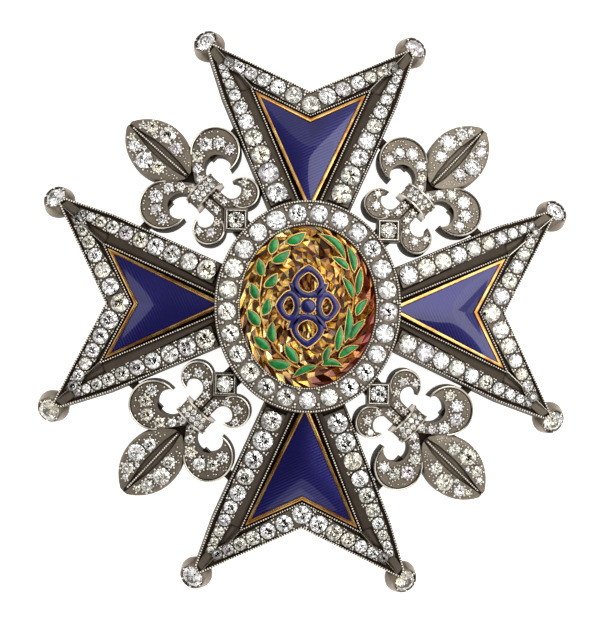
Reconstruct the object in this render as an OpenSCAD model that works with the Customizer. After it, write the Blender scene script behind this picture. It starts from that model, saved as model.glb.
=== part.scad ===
// Breast star: a diamond-set silver cross of four forked arms with fleurs-de-lis
// between them, around an oval enamelled medallion. It lies on its back, front up,
// on the cups of its eight points. +Y is up as worn, +X is to the viewer's right.

/* [Arms] */
// Length of the upright arms, from the middle to their points
upright_reach = 37.2; // [34:0.1:41]
// Length of the level arms, from the middle to their points
level_reach = 34.9; // [32:0.1:38]
// Distance from the middle to the notch of the upright arms
upright_notch = 30.5; // [28.5:0.1:33]
// Distance from the middle to the notch of the level arms
level_notch = 27.8; // [26:0.1:30]
// Half of the spread between the two points of an arm
point_half = 14.0; // [12.5:0.1:15]
// Width of the blunt end of each point
point_blunt = 1.1; // [0.8:0.05:1.5]
// Half of an arm's width where it leaves the medallion
root_half = 6.25; // [5.6:0.05:7]
// Half of an arm's width at its shoulders
shoulder_half = 12.3; // [11.5:0.1:12.8]
// Distance of the shoulders behind the points
shoulder_back = 8.0; // [7:0.1:9]
// Thickness of an arm
arm_thick = 2.4; // [2:0.1:3]
// Slope of the arms down from the middle, in degrees
arm_slope = 10; // [8:0.5:12]
// Height of the back of the upright arms' points above the ground
point_height = 2.6; // [2.3:0.1:3.2]
// Width of the jewelled band along each side of an arm
side_band = 4.4; // [4:0.1:4.8]
// Width of the jewelled band along the notch of an arm
notch_band = 3.35; // [3:0.05:3.7]
// Width of the bevel that falls from the side bands to the window
bevel_width = 0.8; // [0.6:0.1:1.3]
// Depth of that bevel at the window's edge
bevel_depth = 0.6; // [0.3:0.05:0.8]

/* [Enamel panels] */
// Thickness of the arm's floor under the panel
panel_floor = 0.7; // [0.5:0.05:0.9]
// Width of the dark gap between the window's edge and the gold tray
panel_gap = 0.35; // [0.2:0.05:0.5]
// Width of the tray's gold rim
tray_rim = 0.42; // [0.3:0.02:0.6]
// Thickness of the tray's floor
tray_floor = 0.5; // [0.4:0.05:0.7]
// Height of the enamel's ridge above its edges
ridge_rise = 0.4; // [0.2:0.05:0.6]

/* [Stones] */
// Stones along each side band
side_stones = 9; // [7:1:10]
// Size of the smallest side stone as a share of the largest
side_taper = 0.46; // [0.35:0.01:0.7]
// Stones along each half of the notch band, beside the middle one
notch_stones = 5; // [4:1:6]
// Size of the smallest notch stone as a share of the largest
notch_taper = 0.62; // [0.5:0.01:0.8]
// Silver left between two neighbouring stones
stone_gap = 0.3; // [0.2:0.05:0.5]
// Silver left between a stone and the edge of its band
stone_edge = 0.38; // [0.3:0.02:0.5]
// Depth of the stones' girdles under the silver
girdle_sink = 0.1; // [0:0.02:0.2]
// Clearance round a stone in its seat
seat_clear = 0.05; // [0.03:0.01:0.1]
// Stones round the medallion
ring_stone_count = 25; // [20:1:27]
// Diameter of the point stones
point_stone = 3; // [2.8:0.1:3.1]
// Side of the square stones
square_stone = 2.45; // [2:0.05:2.6]

/* [Point cups] */
// Radius of a cup at its mouth
cup_mouth = 1.85; // [1.75:0.05:2]
// Radius of a cup at its belly
cup_belly = 2.4; // [2.25:0.05:2.55]
// Radius of a cup at its foot
cup_foot = 1.5; // [1.2:0.05:1.8]
// Length of a cup along its axis
cup_length = 3.1; // [2.8:0.1:3.5]
// Outward tilt of the cups, in degrees
cup_tilt = 38; // [30:1:45]
// Distance of a cup's mouth beyond the arm's point, on the ground plan
cup_beyond = 1.2; // [0.8:0.1:1.5]
// Thickness that is ground off the cups' feet, to rest on
foot_flat = 0.12; // [0.05:0.01:0.2]

/* [Medallion] */
// Half of the ring's width
ring_half_width = 12.8; // [12.2:0.1:13.4]
// Half of the ring's height
ring_half_height = 14.6; // [14:0.1:15.2]
// Width of the ring's band
ring_band = 3.45; // [3.2:0.05:3.7]
// Thickness of the ring
ring_thick = 2.4; // [2:0.1:3]
// Depth of the ring's foot in the arms
ring_sink = 0.55; // [0.3:0.05:0.8]
// Width of the ledge that carries the ground
ledge_width = 0.7; // [0.5:0.05:1]
// Height of that ledge
ledge_height = 0.9; // [0.7:0.05:1.2]
// Thickness of the gold ground
ground_thick = 0.8; // [0.6:0.05:1]
// Thickness of the enamelled ornaments on the ground
ornament_thick = 0.35; // [0.25:0.05:0.5]
// Thickness of the back plate
plate_thick = 1.0; // [0.8:0.1:1.5]
// Distance of the back plate's edge inside the ring's edge
plate_inset = 1.2; // [0.8:0.1:2]

/* [Fleurs] */
// Direction of the square collets from the middle, in degrees
collet_bearing = 47; // [45:0.1:48]
// Distance of a square collet's middle beyond the ring's edge
collet_out = 1.8; // [1.75:0.05:2.2]
// Direction of a fleur's axis before it is turned, in degrees
fleur_direction = 44.8; // [44:0.1:46]
// Turn of each fleur about its collet, in degrees
fleur_turn = 3; // [1:0.5:4]
// Shift of each collet round the medallion, in degrees
fleur_shift = 2.4; // [1:0.1:3]
// Slope of the fleurs down from the middle, in degrees
fleur_slope = 12; // [10:0.5:14]
// Height of the back of a fleur at its collet
fleur_height = 6.6; // [6.4:0.1:7.2]
// Thickness of a fleur's lobes
fleur_thick = 2.3; // [2:0.1:2.6]
// Distance from the collet to the petal's tip
petal_reach = 20.5; // [19.8:0.1:21]
// Length of the petal
petal_length = 12; // [11.5:0.1:12.4]
// Width of the petal
petal_width = 7.9; // [7.2:0.1:8.2]
// Width of the petal's middle rib
rib_width = 0.5; // [0.4:0.05:0.7]
// Radius of a large lobe
lobe_radius = 3.5; // [3.2:0.05:3.6]
// Sideways place of a large lobe's centre
lobe_side = 5.2; // [5:0.05:5.4]
// Forward place of a large lobe's centre
lobe_ahead = 8.5; // [8.2:0.05:8.8]
// Radius of the hole in a large lobe
lobe_hole = 1.85; // [1.7:0.05:2]
// Sideways offset of that hole from the lobe's centre
lobe_hole_side = 1.5; // [1.3:0.05:1.6]
// Backward offset of that hole from the lobe's centre
lobe_hole_back = 1.85; // [1.7:0.05:2]
// Place on the fleur's axis where its two lobes part
lobe_parting = 7.6; // [7:0.1:8.2]
// Radius of a small scroll
scroll_radius = 2.3; // [2.1:0.05:2.4]
// Sideways place of a small scroll's centre
scroll_side = 3.45; // [3.3:0.05:3.6]
// Forward place of a small scroll's centre
scroll_ahead = 1.5; // [1.3:0.05:1.7]
// Radius of the hole in a small scroll
scroll_hole = 1.25; // [1.1:0.05:1.35]
// Sideways offset of that hole from the scroll's centre
scroll_hole_side = 0.7; // [0.6:0.05:0.8]
// Forward offset of that hole from the scroll's centre
scroll_hole_ahead = 1.4; // [1.3:0.05:1.5]
// Length of the tie band across the fleur
tie_length = 4.9; // [4.5:0.1:5.2]
// Width of the tie band
tie_width = 2.2; // [2:0.1:2.6]
// Forward place of the tie band
tie_ahead = 5.65; // [5.4:0.05:5.85]
// Height of the tie band above the lobes
tie_rise = 0.8; // [0.5:0.1:1.1]
// Width of the wall round a square stone
collet_wall = 0.4; // [0.3:0.05:0.5]
// Width of the struts to the arms
strut_width = 1.1; // [0.8:0.1:1.4]

/* [Brooch pin] */
// Length of the pin's stem
pin_length = 40; // [32:1:44]
// Diameter of the pin's stem
pin_diameter = 1.3; // [1:0.1:1.6]
// Height of the stem's axis above the ground
pin_height = 1.6; // [1.2:0.1:2]
// Width of the blocks that hold the stem
block_width = 3.4; // [3:0.1:4]

/* [Fit] */
// Clearance between pieces that rest on each other
seat_gap = 0.06; // [0.05:0.01:0.1]

/* [Hidden] */
$fn = 48;

silver = "#9c948a";
diamond = "#e8e8ea";
gold = "#d8a850";
blue = "#28287c";
green = "#1d7a45";
steel = "#b8b8b8";
far = 100;
above = 1;
oval_sides = 96;
gem_sides = 8;

// Proportions of a cut stone, as shares of its diameter
crown_share = 0.15;
pavilion_share = 0.38;
table_share = 0.56;
seat_share = 0.45;
square_table = 0.66;
corner_share = 0.3;

// An arm is one of [top, right, bottom, left]
arm_turns = [0, -90, 180, 90];
function upright(arm) = arm % 2 == 0;
function reach(arm) = upright(arm) ? upright_reach : level_reach;
function notch(arm) = upright(arm) ? upright_notch : level_notch;
function ring_edge(arm) = (upright(arm) ? ring_half_height : ring_half_width) / cos(arm_slope);

// Heights above the ground
arm_lift = point_height + upright_reach * sin(arm_slope);
arm_top_at_ring = arm_lift + arm_thick / cos(arm_slope) - ring_half_height * tan(arm_slope);
ring_base = arm_top_at_ring - ring_sink;
ring_top = ring_base + ring_thick;
plate_top = arm_lift - (ring_half_height - plate_inset) * tan(arm_slope) - seat_gap;
ground_base = ring_base + ledge_height + seat_gap;
ground_top = ground_base + ground_thick;
ornament_base = ground_top + seat_gap;

// Lines of an arm's outline: the side edge leans out by side_lean for each
// millimetre outward, the notch edge rises by notch_lean for each sideways
function side_lean(arm) =
    (shoulder_half - root_half) / (reach(arm) - shoulder_back - ring_edge(arm));
function notch_lean(arm) = (reach(arm) - notch(arm)) / point_half;
function side_x(arm, y) = root_half + side_lean(arm) * (y - ring_edge(arm));
root_start = 0.64;
function root_y(arm) = ring_edge(arm) * root_start;

function blunt_point(arm) =
    [point_half + point_blunt / 2, reach(arm) - point_blunt];

function half_outline(arm) = [
    [side_x(arm, root_y(arm)), root_y(arm)],
    [shoulder_half, reach(arm) - shoulder_back],
    blunt_point(arm),
    [point_half, reach(arm)]
];
function flipped(points) = [for (i = [len(points) - 1:-1:0]) [-points[i].x, points[i].y]];
function arm_outline(arm) =
    concat(half_outline(arm), [[0, notch(arm)]], flipped(half_outline(arm)));

// The window: its sides lie side_band inside the side edges, its forked end
// notch_band inside the notch edges
function band_x(arm, y, inset) =
    side_x(arm, y) - inset * sqrt(1 + side_lean(arm) * side_lean(arm));
function apex_y(arm, inset) =
    notch(arm) - inset * sqrt(1 + notch_lean(arm) * notch_lean(arm));
function corner_x(arm) =
    band_x(arm, apex_y(arm, notch_band), side_band) / (1 - side_lean(arm) * notch_lean(arm));
function window_corner(arm) =
    [corner_x(arm), apex_y(arm, notch_band) + notch_lean(arm) * corner_x(arm)];
window_start = 0.86;
function window_foot(arm) =
    [band_x(arm, ring_edge(arm) * window_start, side_band), ring_edge(arm) * window_start];
function window_half(arm) = [
    [max(0.2, window_foot(arm).x), window_foot(arm).y],
    window_corner(arm)
];
function window(arm) =
    concat(window_half(arm), [[0, apex_y(arm, notch_band)]], flipped(window_half(arm)));

// A row of count stones on a line of the given length, graded from 1 to taper
// and kept under widest: each stone as [distance along the line, diameter]
function row_weight(i, count, taper) = 1 - (1 - taper) * i / (count - 1);
function row_total(count, taper) = count * (1 + taper) / 2;
function row_size(i, count, taper, length) =
    (length - count * stone_gap) * row_weight(i, count, taper) / row_total(count, taper);
function row_start(i, count, taper, length) =
    i == 0 ? 0
    : row_start(i - 1, count, taper, length) + row_size(i - 1, count, taper, length) + stone_gap;
function row(count, taper, length, widest) = [
    for (i = [0:count - 1])
        let (size = row_size(i, count, taper, length))
        [row_start(i, count, taper, length) + (size + stone_gap) / 2, min(size, widest)]
];

// The side row runs beside the side edge, row_inset inside it. It starts
// row_overlap behind the ring's edge, which curves away there, and stops
// point_margin short of the point
row_inset = 2.1;
widest_stone = 2.8;
row_overlap = 0.5;
row_end_shift = 0.75;
point_margin = 3.2;
function unit(v) = v / norm(v);
function side_row_start(arm) =
    [side_x(arm, ring_edge(arm)) - row_inset, ring_edge(arm) - row_overlap];
function side_row_end(arm) =
    let (tip = blunt_point(arm), inward = unit([-point_half, -reach(arm) + ring_edge(arm)]))
    tip + inward * point_margin - [row_end_shift, 0];
function along(a, b, s) = a + unit(b - a) * s;
function side_stone_rows(arm) =
    let (a = side_row_start(arm), b = side_row_end(arm))
    [for (s = row(side_stones, side_taper, norm(b - a), widest_stone)) [along(a, b, s[0]), s[1]]];

// The notch row runs from beside the middle stone to the point
notch_middle_stone = notch_band - 2 * stone_edge;
function notch_line(arm) =
    let (mid = (notch(arm) + apex_y(arm, notch_band)) / 2, lean = notch_lean(arm))
    [[0, mid], unit([1, lean])];
function notch_stone_rows(arm) =
    let (
        line = notch_line(arm),
        start = notch_middle_stone / 2 + stone_gap / 2,
        length = norm([point_half, reach(arm)] - line[0]) - start - point_margin
    )
    [
        for (s = row(notch_stones, notch_taper, length, notch_middle_stone))
            [line[0] + line[1] * (start + s[0]), s[1]]
    ];
function half_arm_stones(arm) = concat(side_stone_rows(arm), notch_stone_rows(arm));
middle_drop = 0.15;
function middle_stone(arm) = [notch_line(arm)[0] - [0, middle_drop], notch_middle_stone];

// A closed cut stone: table, crown facets, girdle outline and pointed pavilion.
// The girdle lies at z = 0.
module cut_stone(girdle, crown, pavilion, share) {
    n = len(girdle);
    table = [for (i = [0:n - 1]) (girdle[i] + girdle[(i + 1) % n]) / 2 * share * 1.05];
    points = concat(
        [for (p = girdle) [p.x, p.y, 0]],
        [for (p = table) [p.x, p.y, crown]],
        [[0, 0, -pavilion]]
    );
    faces = concat(
        [[for (i = [n - 1:-1:0]) n + i]],
        [for (i = [0:n - 1]) [i, n + i, (i + 1) % n]],
        [for (i = [0:n - 1]) [(i + 1) % n, n + i, n + (i + 1) % n]],
        [for (i = [0:n - 1]) [i, (i + 1) % n, 2 * n]]
    );
    polyhedron(points, faces);
}

module round_stone(d) {
    girdle = [for (i = [0:gem_sides - 1]) d / 2 * [cos(360 * i / gem_sides), sin(360 * i / gem_sides)]];
    cut_stone(girdle, d * crown_share, d * pavilion_share, table_share);
}

// Stones or their seats at a list of [place, diameter], on a face at height z
module stones_at(list, z) {
    for (s = list) translate([s[0].x, s[0].y, z - girdle_sink]) round_stone(s[1]);
}

module seats_at(list, z) {
    for (s = list)
        translate([s[0].x, s[0].y, z - girdle_sink - s[1] * seat_share])
            cylinder(d = s[1] + 2 * seat_clear, h = s[1] * seat_share + above);
}

module both_sides() {
    children();
    mirror([1, 0, 0]) children();
}

module lay_arm(arm) {
    rotate([0, 0, arm_turns[arm]])
        translate([0, 0, arm_lift])
            rotate([-arm_slope, 0, 0])
                children();
}

function oval(half_width, half_height) = [
    for (i = [0:oval_sides - 1])
        let (a = 360 * (i + 0.5) / oval_sides)
        [half_width * cos(a), half_height * sin(a)]
];

// The room that the medallion ring takes, above the arms' roots
module ring_room(clear) {
    translate([0, 0, ring_base - clear])
        linear_extrude(far)
            polygon(oval(ring_half_width + clear, ring_half_height + clear));
}

// The bevel along one side of the window, cut by a leaning block
module side_bevel(arm) {
    foot = window_foot(arm);
    corner = window_corner(arm);
    turn = atan2(corner.y - foot.y, corner.x - foot.x);
    lean = atan2(bevel_depth, bevel_width);
    translate([foot.x, foot.y, arm_thick - bevel_depth])
        rotate([0, 0, turn])
            rotate([-lean, 0, 0])
                translate([-above, -bevel_width - above, 0])
                    cube([norm(corner - foot) + above, bevel_width + above, arm_thick]);
}

// The sunk web between the two bands, from the window's corner to the point,
// with a raised middle line
web_depth = 0.35;
web_end = 0.72;
web_half = 0.65;
web_line_half = 0.22;
function web_mid(arm) = window_corner(arm) * (1 - web_end) + [point_half, reach(arm)] * web_end;
module web_groove(arm) {
    corner = window_corner(arm);
    aim = unit([point_half, reach(arm)] - corner);
    side = [-aim.y, aim.x];
    translate([0, 0, arm_thick - web_depth])
        linear_extrude(1)
            difference() {
                polygon([corner + (aim + side) * web_half, web_mid(arm), corner + (aim - side) * web_half]);
                polygon([corner + side * web_line_half, web_mid(arm) + aim, corner - side * web_line_half]);
            }
}

// A cup stands on the ground below an arm's point and tilts outward
function cup_mouth_z() =
    cup_length * cos(cup_tilt) + cup_foot * sin(cup_tilt) - foot_flat;
module lay_cup(arm) {
    tip = [point_half, reach(arm) * cos(arm_slope)];
    rotate([0, 0, arm_turns[arm]])
        translate([tip.x + cup_beyond * sin(45), tip.y + cup_beyond * cos(45), cup_mouth_z()])
            rotate([0, 0, -45])
                rotate([-cup_tilt, 0, 0])
                    children();
}

// A cup widens from its foot to its belly, and narrows again to its mouth
belly_share = 0.45;
module cup(arm) {
    upper = cup_length * belly_share;
    lower = cup_length - upper;
    intersection() {
        lay_cup(arm) {
            translate([0, 0, -upper]) cylinder(r1 = cup_belly, r2 = cup_mouth, h = upper);
            translate([0, 0, -cup_length]) cylinder(r1 = cup_foot, r2 = cup_belly, h = lower);
        }
        translate([-far / 2, -far / 2, 0]) cube([far, far, far]);
    }
}

module cup_seat(arm) {
    lay_cup(arm)
        translate([0, 0, -point_stone * seat_share])
            cylinder(d = point_stone + 2 * seat_clear, h = point_stone * seat_share + 6 * above);
}

module mirrored_cup(arm, side) {
    rotate([0, 0, arm_turns[arm]])
        mirror([side < 0 ? 1 : 0, 0, 0])
            rotate([0, 0, -arm_turns[arm]])
                children();
}

// The flat tongue by which an arm lies between the ring and the back plate
tongue_half = 3.6;
module arm_tongue(arm) {
    inner = root_y(arm) * cos(arm_slope);
    outer = window_foot(arm).y * cos(arm_slope) - 2 * seat_gap;
    rotate([0, 0, arm_turns[arm]])
        translate([-tongue_half, inner, plate_top + seat_gap])
            cube([2 * tongue_half, outer - inner, ring_base - seat_gap - plate_top - seat_gap]);
}

module arm_body(arm) {
    color(silver)
        difference() {
            union() {
                lay_arm(arm)
                    difference() {
                        linear_extrude(arm_thick) polygon(arm_outline(arm));
                        translate([0, 0, panel_floor]) linear_extrude(arm_thick) polygon(window(arm));
                        both_sides() {
                            side_bevel(arm);
                            web_groove(arm);
                            seats_at(half_arm_stones(arm), arm_thick);
                        }
                        seats_at([middle_stone(arm)], arm_thick);
                    }
                arm_tongue(arm);
                for (side = [1, -1]) mirrored_cup(arm, side) cup(arm);
            }
            ring_room(seat_gap);
            for (side = [1, -1]) mirrored_cup(arm, side) cup_seat(arm);
        }
}

module arm_stones(arm) {
    color(diamond)
        lay_arm(arm) {
            both_sides() stones_at(half_arm_stones(arm), arm_thick);
            stones_at([middle_stone(arm)], arm_thick);
        }
}

// The gold tray lies in the window, and the enamel in the tray
tray_base = panel_floor + seat_gap;
enamel_sink = 0.05;
tray_sink = 0.15;
tray_top = arm_thick - tray_sink;
module tray_outline(arm, inset) {
    offset(delta = -inset) polygon(window(arm));
}

module panel_frame(arm) {
    color(gold)
        difference() {
            lay_arm(arm)
                difference() {
                    translate([0, 0, tray_base])
                        linear_extrude(tray_top - tray_base)
                            tray_outline(arm, panel_gap);
                    translate([0, 0, tray_base + tray_floor])
                        linear_extrude(arm_thick)
                            tray_outline(arm, panel_gap + tray_rim);
                }
            ring_room(2 * seat_gap);
        }
}

module panel_enamel(arm) {
    low = tray_base + tray_floor + seat_gap;
    edge = tray_top - enamel_sink;
    half = window_corner(arm).x;
    color(blue)
        difference() {
            lay_arm(arm)
                intersection() {
                    translate([0, 0, low])
                        linear_extrude(arm_thick)
                            tray_outline(arm, panel_gap + tray_rim + seat_gap);
                    translate([0, reach(arm), 0])
                        rotate([90, 0, 0])
                            linear_extrude(reach(arm))
                                polygon([
                                    [-half, 0], [half, 0], [half, edge], [0, edge + ridge_rise], [-half, edge]
                                ]);
                }
            ring_room(2 * seat_gap);
        }
}

module tip_stone(number) {
    arm = floor((number - 1) / 2);
    side = number % 2 == 1 ? 1 : -1;
    color(diamond)
        mirrored_cup(arm, side)
            lay_cup(arm)
                translate([0, 0, -girdle_sink])
                    round_stone(point_stone);
}

// A fleur is one of [ne, nw, sw, se], drawn with its axis along +Y from its collet
fleur_signs = [[1, 1], [-1, 1], [-1, -1], [1, -1]];
ring_radius_there =
    1 / norm([cos(collet_bearing) / ring_half_width, sin(collet_bearing) / ring_half_height]);
collet_radius = ring_radius_there + collet_out;
function fleur_base(fleur) =
    let (s = fleur_signs[fleur])
    let (a = atan2(s.y * sin(collet_bearing), s.x * cos(collet_bearing)) - fleur_shift)
    collet_radius * [cos(a), sin(a)];
function fleur_axis(fleur) =
    let (s = fleur_signs[fleur])
    atan2(s.y * sin(fleur_direction), s.x * cos(fleur_direction)) + fleur_turn;

module lay_fleur(fleur) {
    base = fleur_base(fleur);
    translate([base.x, base.y, fleur_height])
        rotate([0, 0, fleur_axis(fleur) - 90])
            rotate([-fleur_slope, 0, 0])
                children();
}

// Lobes and scrolls are crescents: discs with an off-centre hole that breaks
// their edge
lobe_at = [lobe_side, lobe_ahead];
lobe_hole_at = lobe_at - [lobe_hole_side, lobe_hole_back];
scroll_at = [scroll_side, scroll_ahead];
scroll_hole_at = scroll_at + [-scroll_hole_side, scroll_hole_ahead];
petal_mid = petal_reach - petal_length / 2;
petal_arc = (pow(petal_length / 2, 2) + pow(petal_width / 2, 2)) / petal_width;
module petal_flat() {
    intersection_for (s = [1, -1])
        translate([s * (petal_arc - petal_width / 2), petal_mid])
            circle(r = petal_arc, $fn = 96);
}

// The inner horn of a lobe runs from the tie band to the disc, along a tangent
lobe_parting_at = [0, lobe_parting];
lobe_tangent =
    let (
        gap = lobe_parting_at - lobe_at,
        a = atan2(gap.y, gap.x) - acos(lobe_radius / norm(gap))
    )
    lobe_at + lobe_radius * [cos(a), sin(a)];
lobe_foot = lobe_hole_at.x - lobe_hole * 0.8;
module lobe_flat() {
    difference() {
        union() {
            translate(lobe_at) circle(r = lobe_radius);
            polygon([[0, tie_ahead], lobe_parting_at, lobe_tangent, lobe_at, [lobe_foot, tie_ahead]]);
        }
        translate(lobe_hole_at) circle(r = lobe_hole);
    }
}

// Lobe stones, seen from the centre of the lobe's hole: direction in degrees,
// distance and diameter as shares of the lobe's radius
lobe_table = [
    [168, 0.83, 0.31],
    [138, 0.79, 0.36],
    [104, 0.89, 0.43],
    [70, 1.05, 0.52],
    [40, 0.99, 0.45],
    [10, 0.87, 0.39]
];
lobe_row = [
    for (p = lobe_table)
        [lobe_hole_at + p[1] * lobe_radius * [cos(p[0]), sin(p[0])], p[2] * lobe_radius]
];

// Petal stones: share of the petal's length from its tip, share of its half
// width from the rib, diameter as a share of its width
petal_table = [
    [0.64, 0.44, 0.220],
    [0.46, 0.60, 0.310],
    [0.26, 0.44, 0.210]
];
petal_row = [
    for (p = petal_table)
        [[p[1] * petal_width / 2, petal_reach - p[0] * petal_length], p[2] * petal_width]
];

petal_thick = fleur_thick - 0.1;
scroll_thick = fleur_thick - 0.2;
collet_thick = fleur_thick + 0.5;
groove_depth = 0.45;
groove_half = 0.2;
groove_margin = 1.75;
collet_side = square_stone + 2 * collet_wall;
collet_floor = collet_thick - square_stone * seat_share;

module petal_body() {
    difference() {
        linear_extrude(petal_thick) petal_flat();
        for (s = [1, -1])
            translate([s * (rib_width / 2 + groove_half), 0, petal_thick - groove_depth])
                linear_extrude(above)
                    polygon([
                        [-groove_half, petal_reach - petal_length + groove_margin],
                        [groove_half, petal_reach - petal_length + groove_margin],
                        [groove_half / 2, petal_reach - groove_margin],
                        [-groove_half / 2, petal_reach - groove_margin]
                    ]);
    }
}

module lobe_body() {
    linear_extrude(fleur_thick) lobe_flat();
}

module scroll_body() {
    linear_extrude(scroll_thick)
        difference() {
            translate(scroll_at) circle(r = scroll_radius);
            translate(scroll_hole_at) circle(r = scroll_hole);
        }
}

// The raised tie band, rounded along its length
tie_arc = 3.2;
module tie_band() {
    crown = fleur_thick + tie_rise;
    intersection() {
        translate([-tie_length / 2, tie_ahead - tie_width / 2, 0]) cube([tie_length, tie_width, crown]);
        translate([0, tie_ahead + tie_width, crown - tie_arc])
            rotate([90, 0, 0])
                union() {
                    cylinder(r = tie_arc, h = 2 * tie_width);
                    translate([-tie_arc, -tie_arc, 0]) cube([2 * tie_arc, tie_arc, 2 * tie_width]);
                }
    }
}

// The stem joins collet and petal, and a groove parts it up to the tie band
stem_width = 2.9;
module stem() {
    difference() {
        translate([-stem_width / 2, 0, 0])
            cube([stem_width, petal_reach - petal_length + groove_margin, scroll_thick]);
        translate([-groove_half, 0, scroll_thick - groove_depth])
            cube([2 * groove_half, tie_ahead, above]);
    }
}

strut_rise = 0.5;
strut_thick = 1.2;
module strut() {
    translate([0, lobe_ahead - strut_width / 2, strut_rise])
        cube([lobe_side + 2 * lobe_radius, strut_width, strut_thick]);
}

// The room of an arm, that the fleurs' struts stop short of
module arm_room(arm, clear) {
    lay_arm(arm)
        translate([0, 0, -arm_thick])
            linear_extrude(3 * arm_thick)
                offset(delta = clear)
                    polygon(concat(half_outline(arm), flipped(half_outline(arm))));
}

// The flat root by which a fleur lies between the ring and the back plate
root_half_width = 1.4;
root_length = 4.85;
module fleur_root(fleur) {
    base = fleur_base(fleur);
    rotate([0, 0, atan2(base.y, base.x)])
        translate([collet_radius - root_length, -root_half_width, plate_top + seat_gap])
            cube([root_length, 2 * root_half_width, ring_base - plate_top - 2 * seat_gap]);
}

module collet_frame(fleur, side, height, z) {
    base = fleur_base(fleur);
    translate([base.x, base.y, fleur_height + z])
        translate([-side / 2, -side / 2, 0])
            cube([side, side, height]);
}

module fleur_body(fleur) {
    color(silver)
        difference() {
            union() {
                lay_fleur(fleur) {
                    both_sides() {
                        lobe_body();
                        scroll_body();
                        strut();
                    }
                    petal_body();
                    stem();
                    tie_band();
                }
                collet_frame(fleur, collet_side, collet_thick, 0);
                fleur_root(fleur);
            }
            lay_fleur(fleur) {
                both_sides() seats_at(lobe_row, fleur_thick);
                both_sides() seats_at(petal_row, petal_thick);
            }
            collet_frame(fleur, square_stone + 2 * seat_clear, far, collet_floor);
            ring_room(seat_gap);
            arm_room(0, seat_gap);
            arm_room(1, seat_gap);
            arm_room(2, seat_gap);
            arm_room(3, seat_gap);
        }
}

module fleur_stones(fleur) {
    color(diamond)
        lay_fleur(fleur)
            both_sides() {
                stones_at(lobe_row, fleur_thick);
                stones_at(petal_row, petal_thick);
            }
}

module square_stone_body(fleur) {
    base = fleur_base(fleur);
    half = square_stone / 2;
    nip = half * corner_share;
    girdle = [
        [half, -half + nip], [half, half - nip], [half - nip, half], [-half + nip, half],
        [-half, half - nip], [-half, -half + nip], [-half + nip, -half], [half - nip, -half]
    ];
    color(diamond)
        translate([base.x, base.y, fleur_height + collet_thick - girdle_sink])
            cut_stone(girdle, square_stone * crown_share, square_stone * pavilion_share, square_table);
}

// The ring's middle line, and its stones at equal steps along it
mid_half_width = ring_half_width - ring_band / 2;
mid_half_height = ring_half_height - ring_band / 2;
function oval_speed(a) = norm([mid_half_width * sin(a), mid_half_height * cos(a)]);
function oval_length(steps) =
    let (speeds = [for (i = [0:steps - 1]) oval_speed(360 * i / steps)])
    speeds * [for (i = [0:steps - 1]) 1] * 2 * PI / steps;
ring_pitch = oval_length(72) / ring_stone_count;
degrees = 180 / PI;
function oval_next(a) =
    let (half_step = a + degrees / 2 * ring_pitch / oval_speed(a))
    a + degrees * ring_pitch / oval_speed(half_step);
function ring_angles(a, left) = left == 0 ? [] : concat([a], ring_angles(oval_next(a), left - 1));
ring_stone = min(ring_pitch - stone_gap - 2 * seat_clear, ring_band - 2 * stone_edge - 2 * seat_clear);
ring_start = 99;
function ring_list() = [
    for (a = ring_angles(ring_start, ring_stone_count))
        [[mid_half_width * cos(a), mid_half_height * sin(a)], ring_stone]
];

ledge_half_width = ring_half_width - ring_band - ledge_width;
ledge_half_height = ring_half_height - ring_band - ledge_width;
module medallion_ring() {
    color(silver)
        difference() {
            translate([0, 0, ring_base])
                linear_extrude(ring_thick)
                    polygon(oval(ring_half_width, ring_half_height));
            translate([0, 0, ring_base + ledge_height])
                linear_extrude(far)
                    polygon(oval(ring_half_width - ring_band, ring_half_height - ring_band));
            translate([0, 0, ring_base - 1])
                linear_extrude(far)
                    polygon(oval(ledge_half_width, ledge_half_height));
            seats_at(ring_list(), ring_top);
        }
}

module ring_stones() {
    color(diamond) stones_at(ring_list(), ring_top);
}

module medallion_ground() {
    inset = ring_band + seat_gap;
    color(gold)
        translate([0, 0, ground_base])
            linear_extrude(ground_thick)
                polygon(oval(ring_half_width - inset, ring_half_height - inset));
}

// The sprays: a leaf is a pointed oval from its foot along +Y
ground_half_width = ring_half_width - ring_band;
ground_half_height = ring_half_height - ring_band;
spray_half_width = ground_half_width * 0.658;
spray_half_height = ground_half_height * 0.798;
leaf_steps = 6;
leaf_foot = 0.97;
stalk_half = spray_half_width * 0.021;
stalk_length = spray_half_width * 0.05;
function leaf_side(length, width) = [
    for (i = [1:leaf_steps - 1]) [width / 2 * sin(180 * i / leaf_steps), length * i / leaf_steps]
];
function leaf_points(length, width) = concat(
    [[-stalk_half, -stalk_length], [stalk_half, -stalk_length]],
    leaf_side(length, width),
    [[0, length]],
    flipped(leaf_side(length, width))
);
function spray_point(a) = [spray_half_width * cos(a), spray_half_height * sin(a)];

module spray_stem(from_a, to_a, width) {
    steps = 24;
    outer = [for (i = [0:steps]) spray_point(from_a + (to_a - from_a) * i / steps)];
    scale_in = 1 - width / spray_half_width;
    polygon(concat(outer, [for (i = [steps:-1:0]) outer[i] * scale_in]));
}

// A leaf at the oval angle a, turned by lean from the stem's direction
module leaf(a, sense, lean, length, width) {
    t = sense * [-spray_half_width * sin(a), spray_half_height * cos(a)];
    translate(spray_point(a) * leaf_foot)
        rotate(atan2(t.y, t.x) - 90 + lean)
            polygon(leaf_points(length, width));
}

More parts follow.
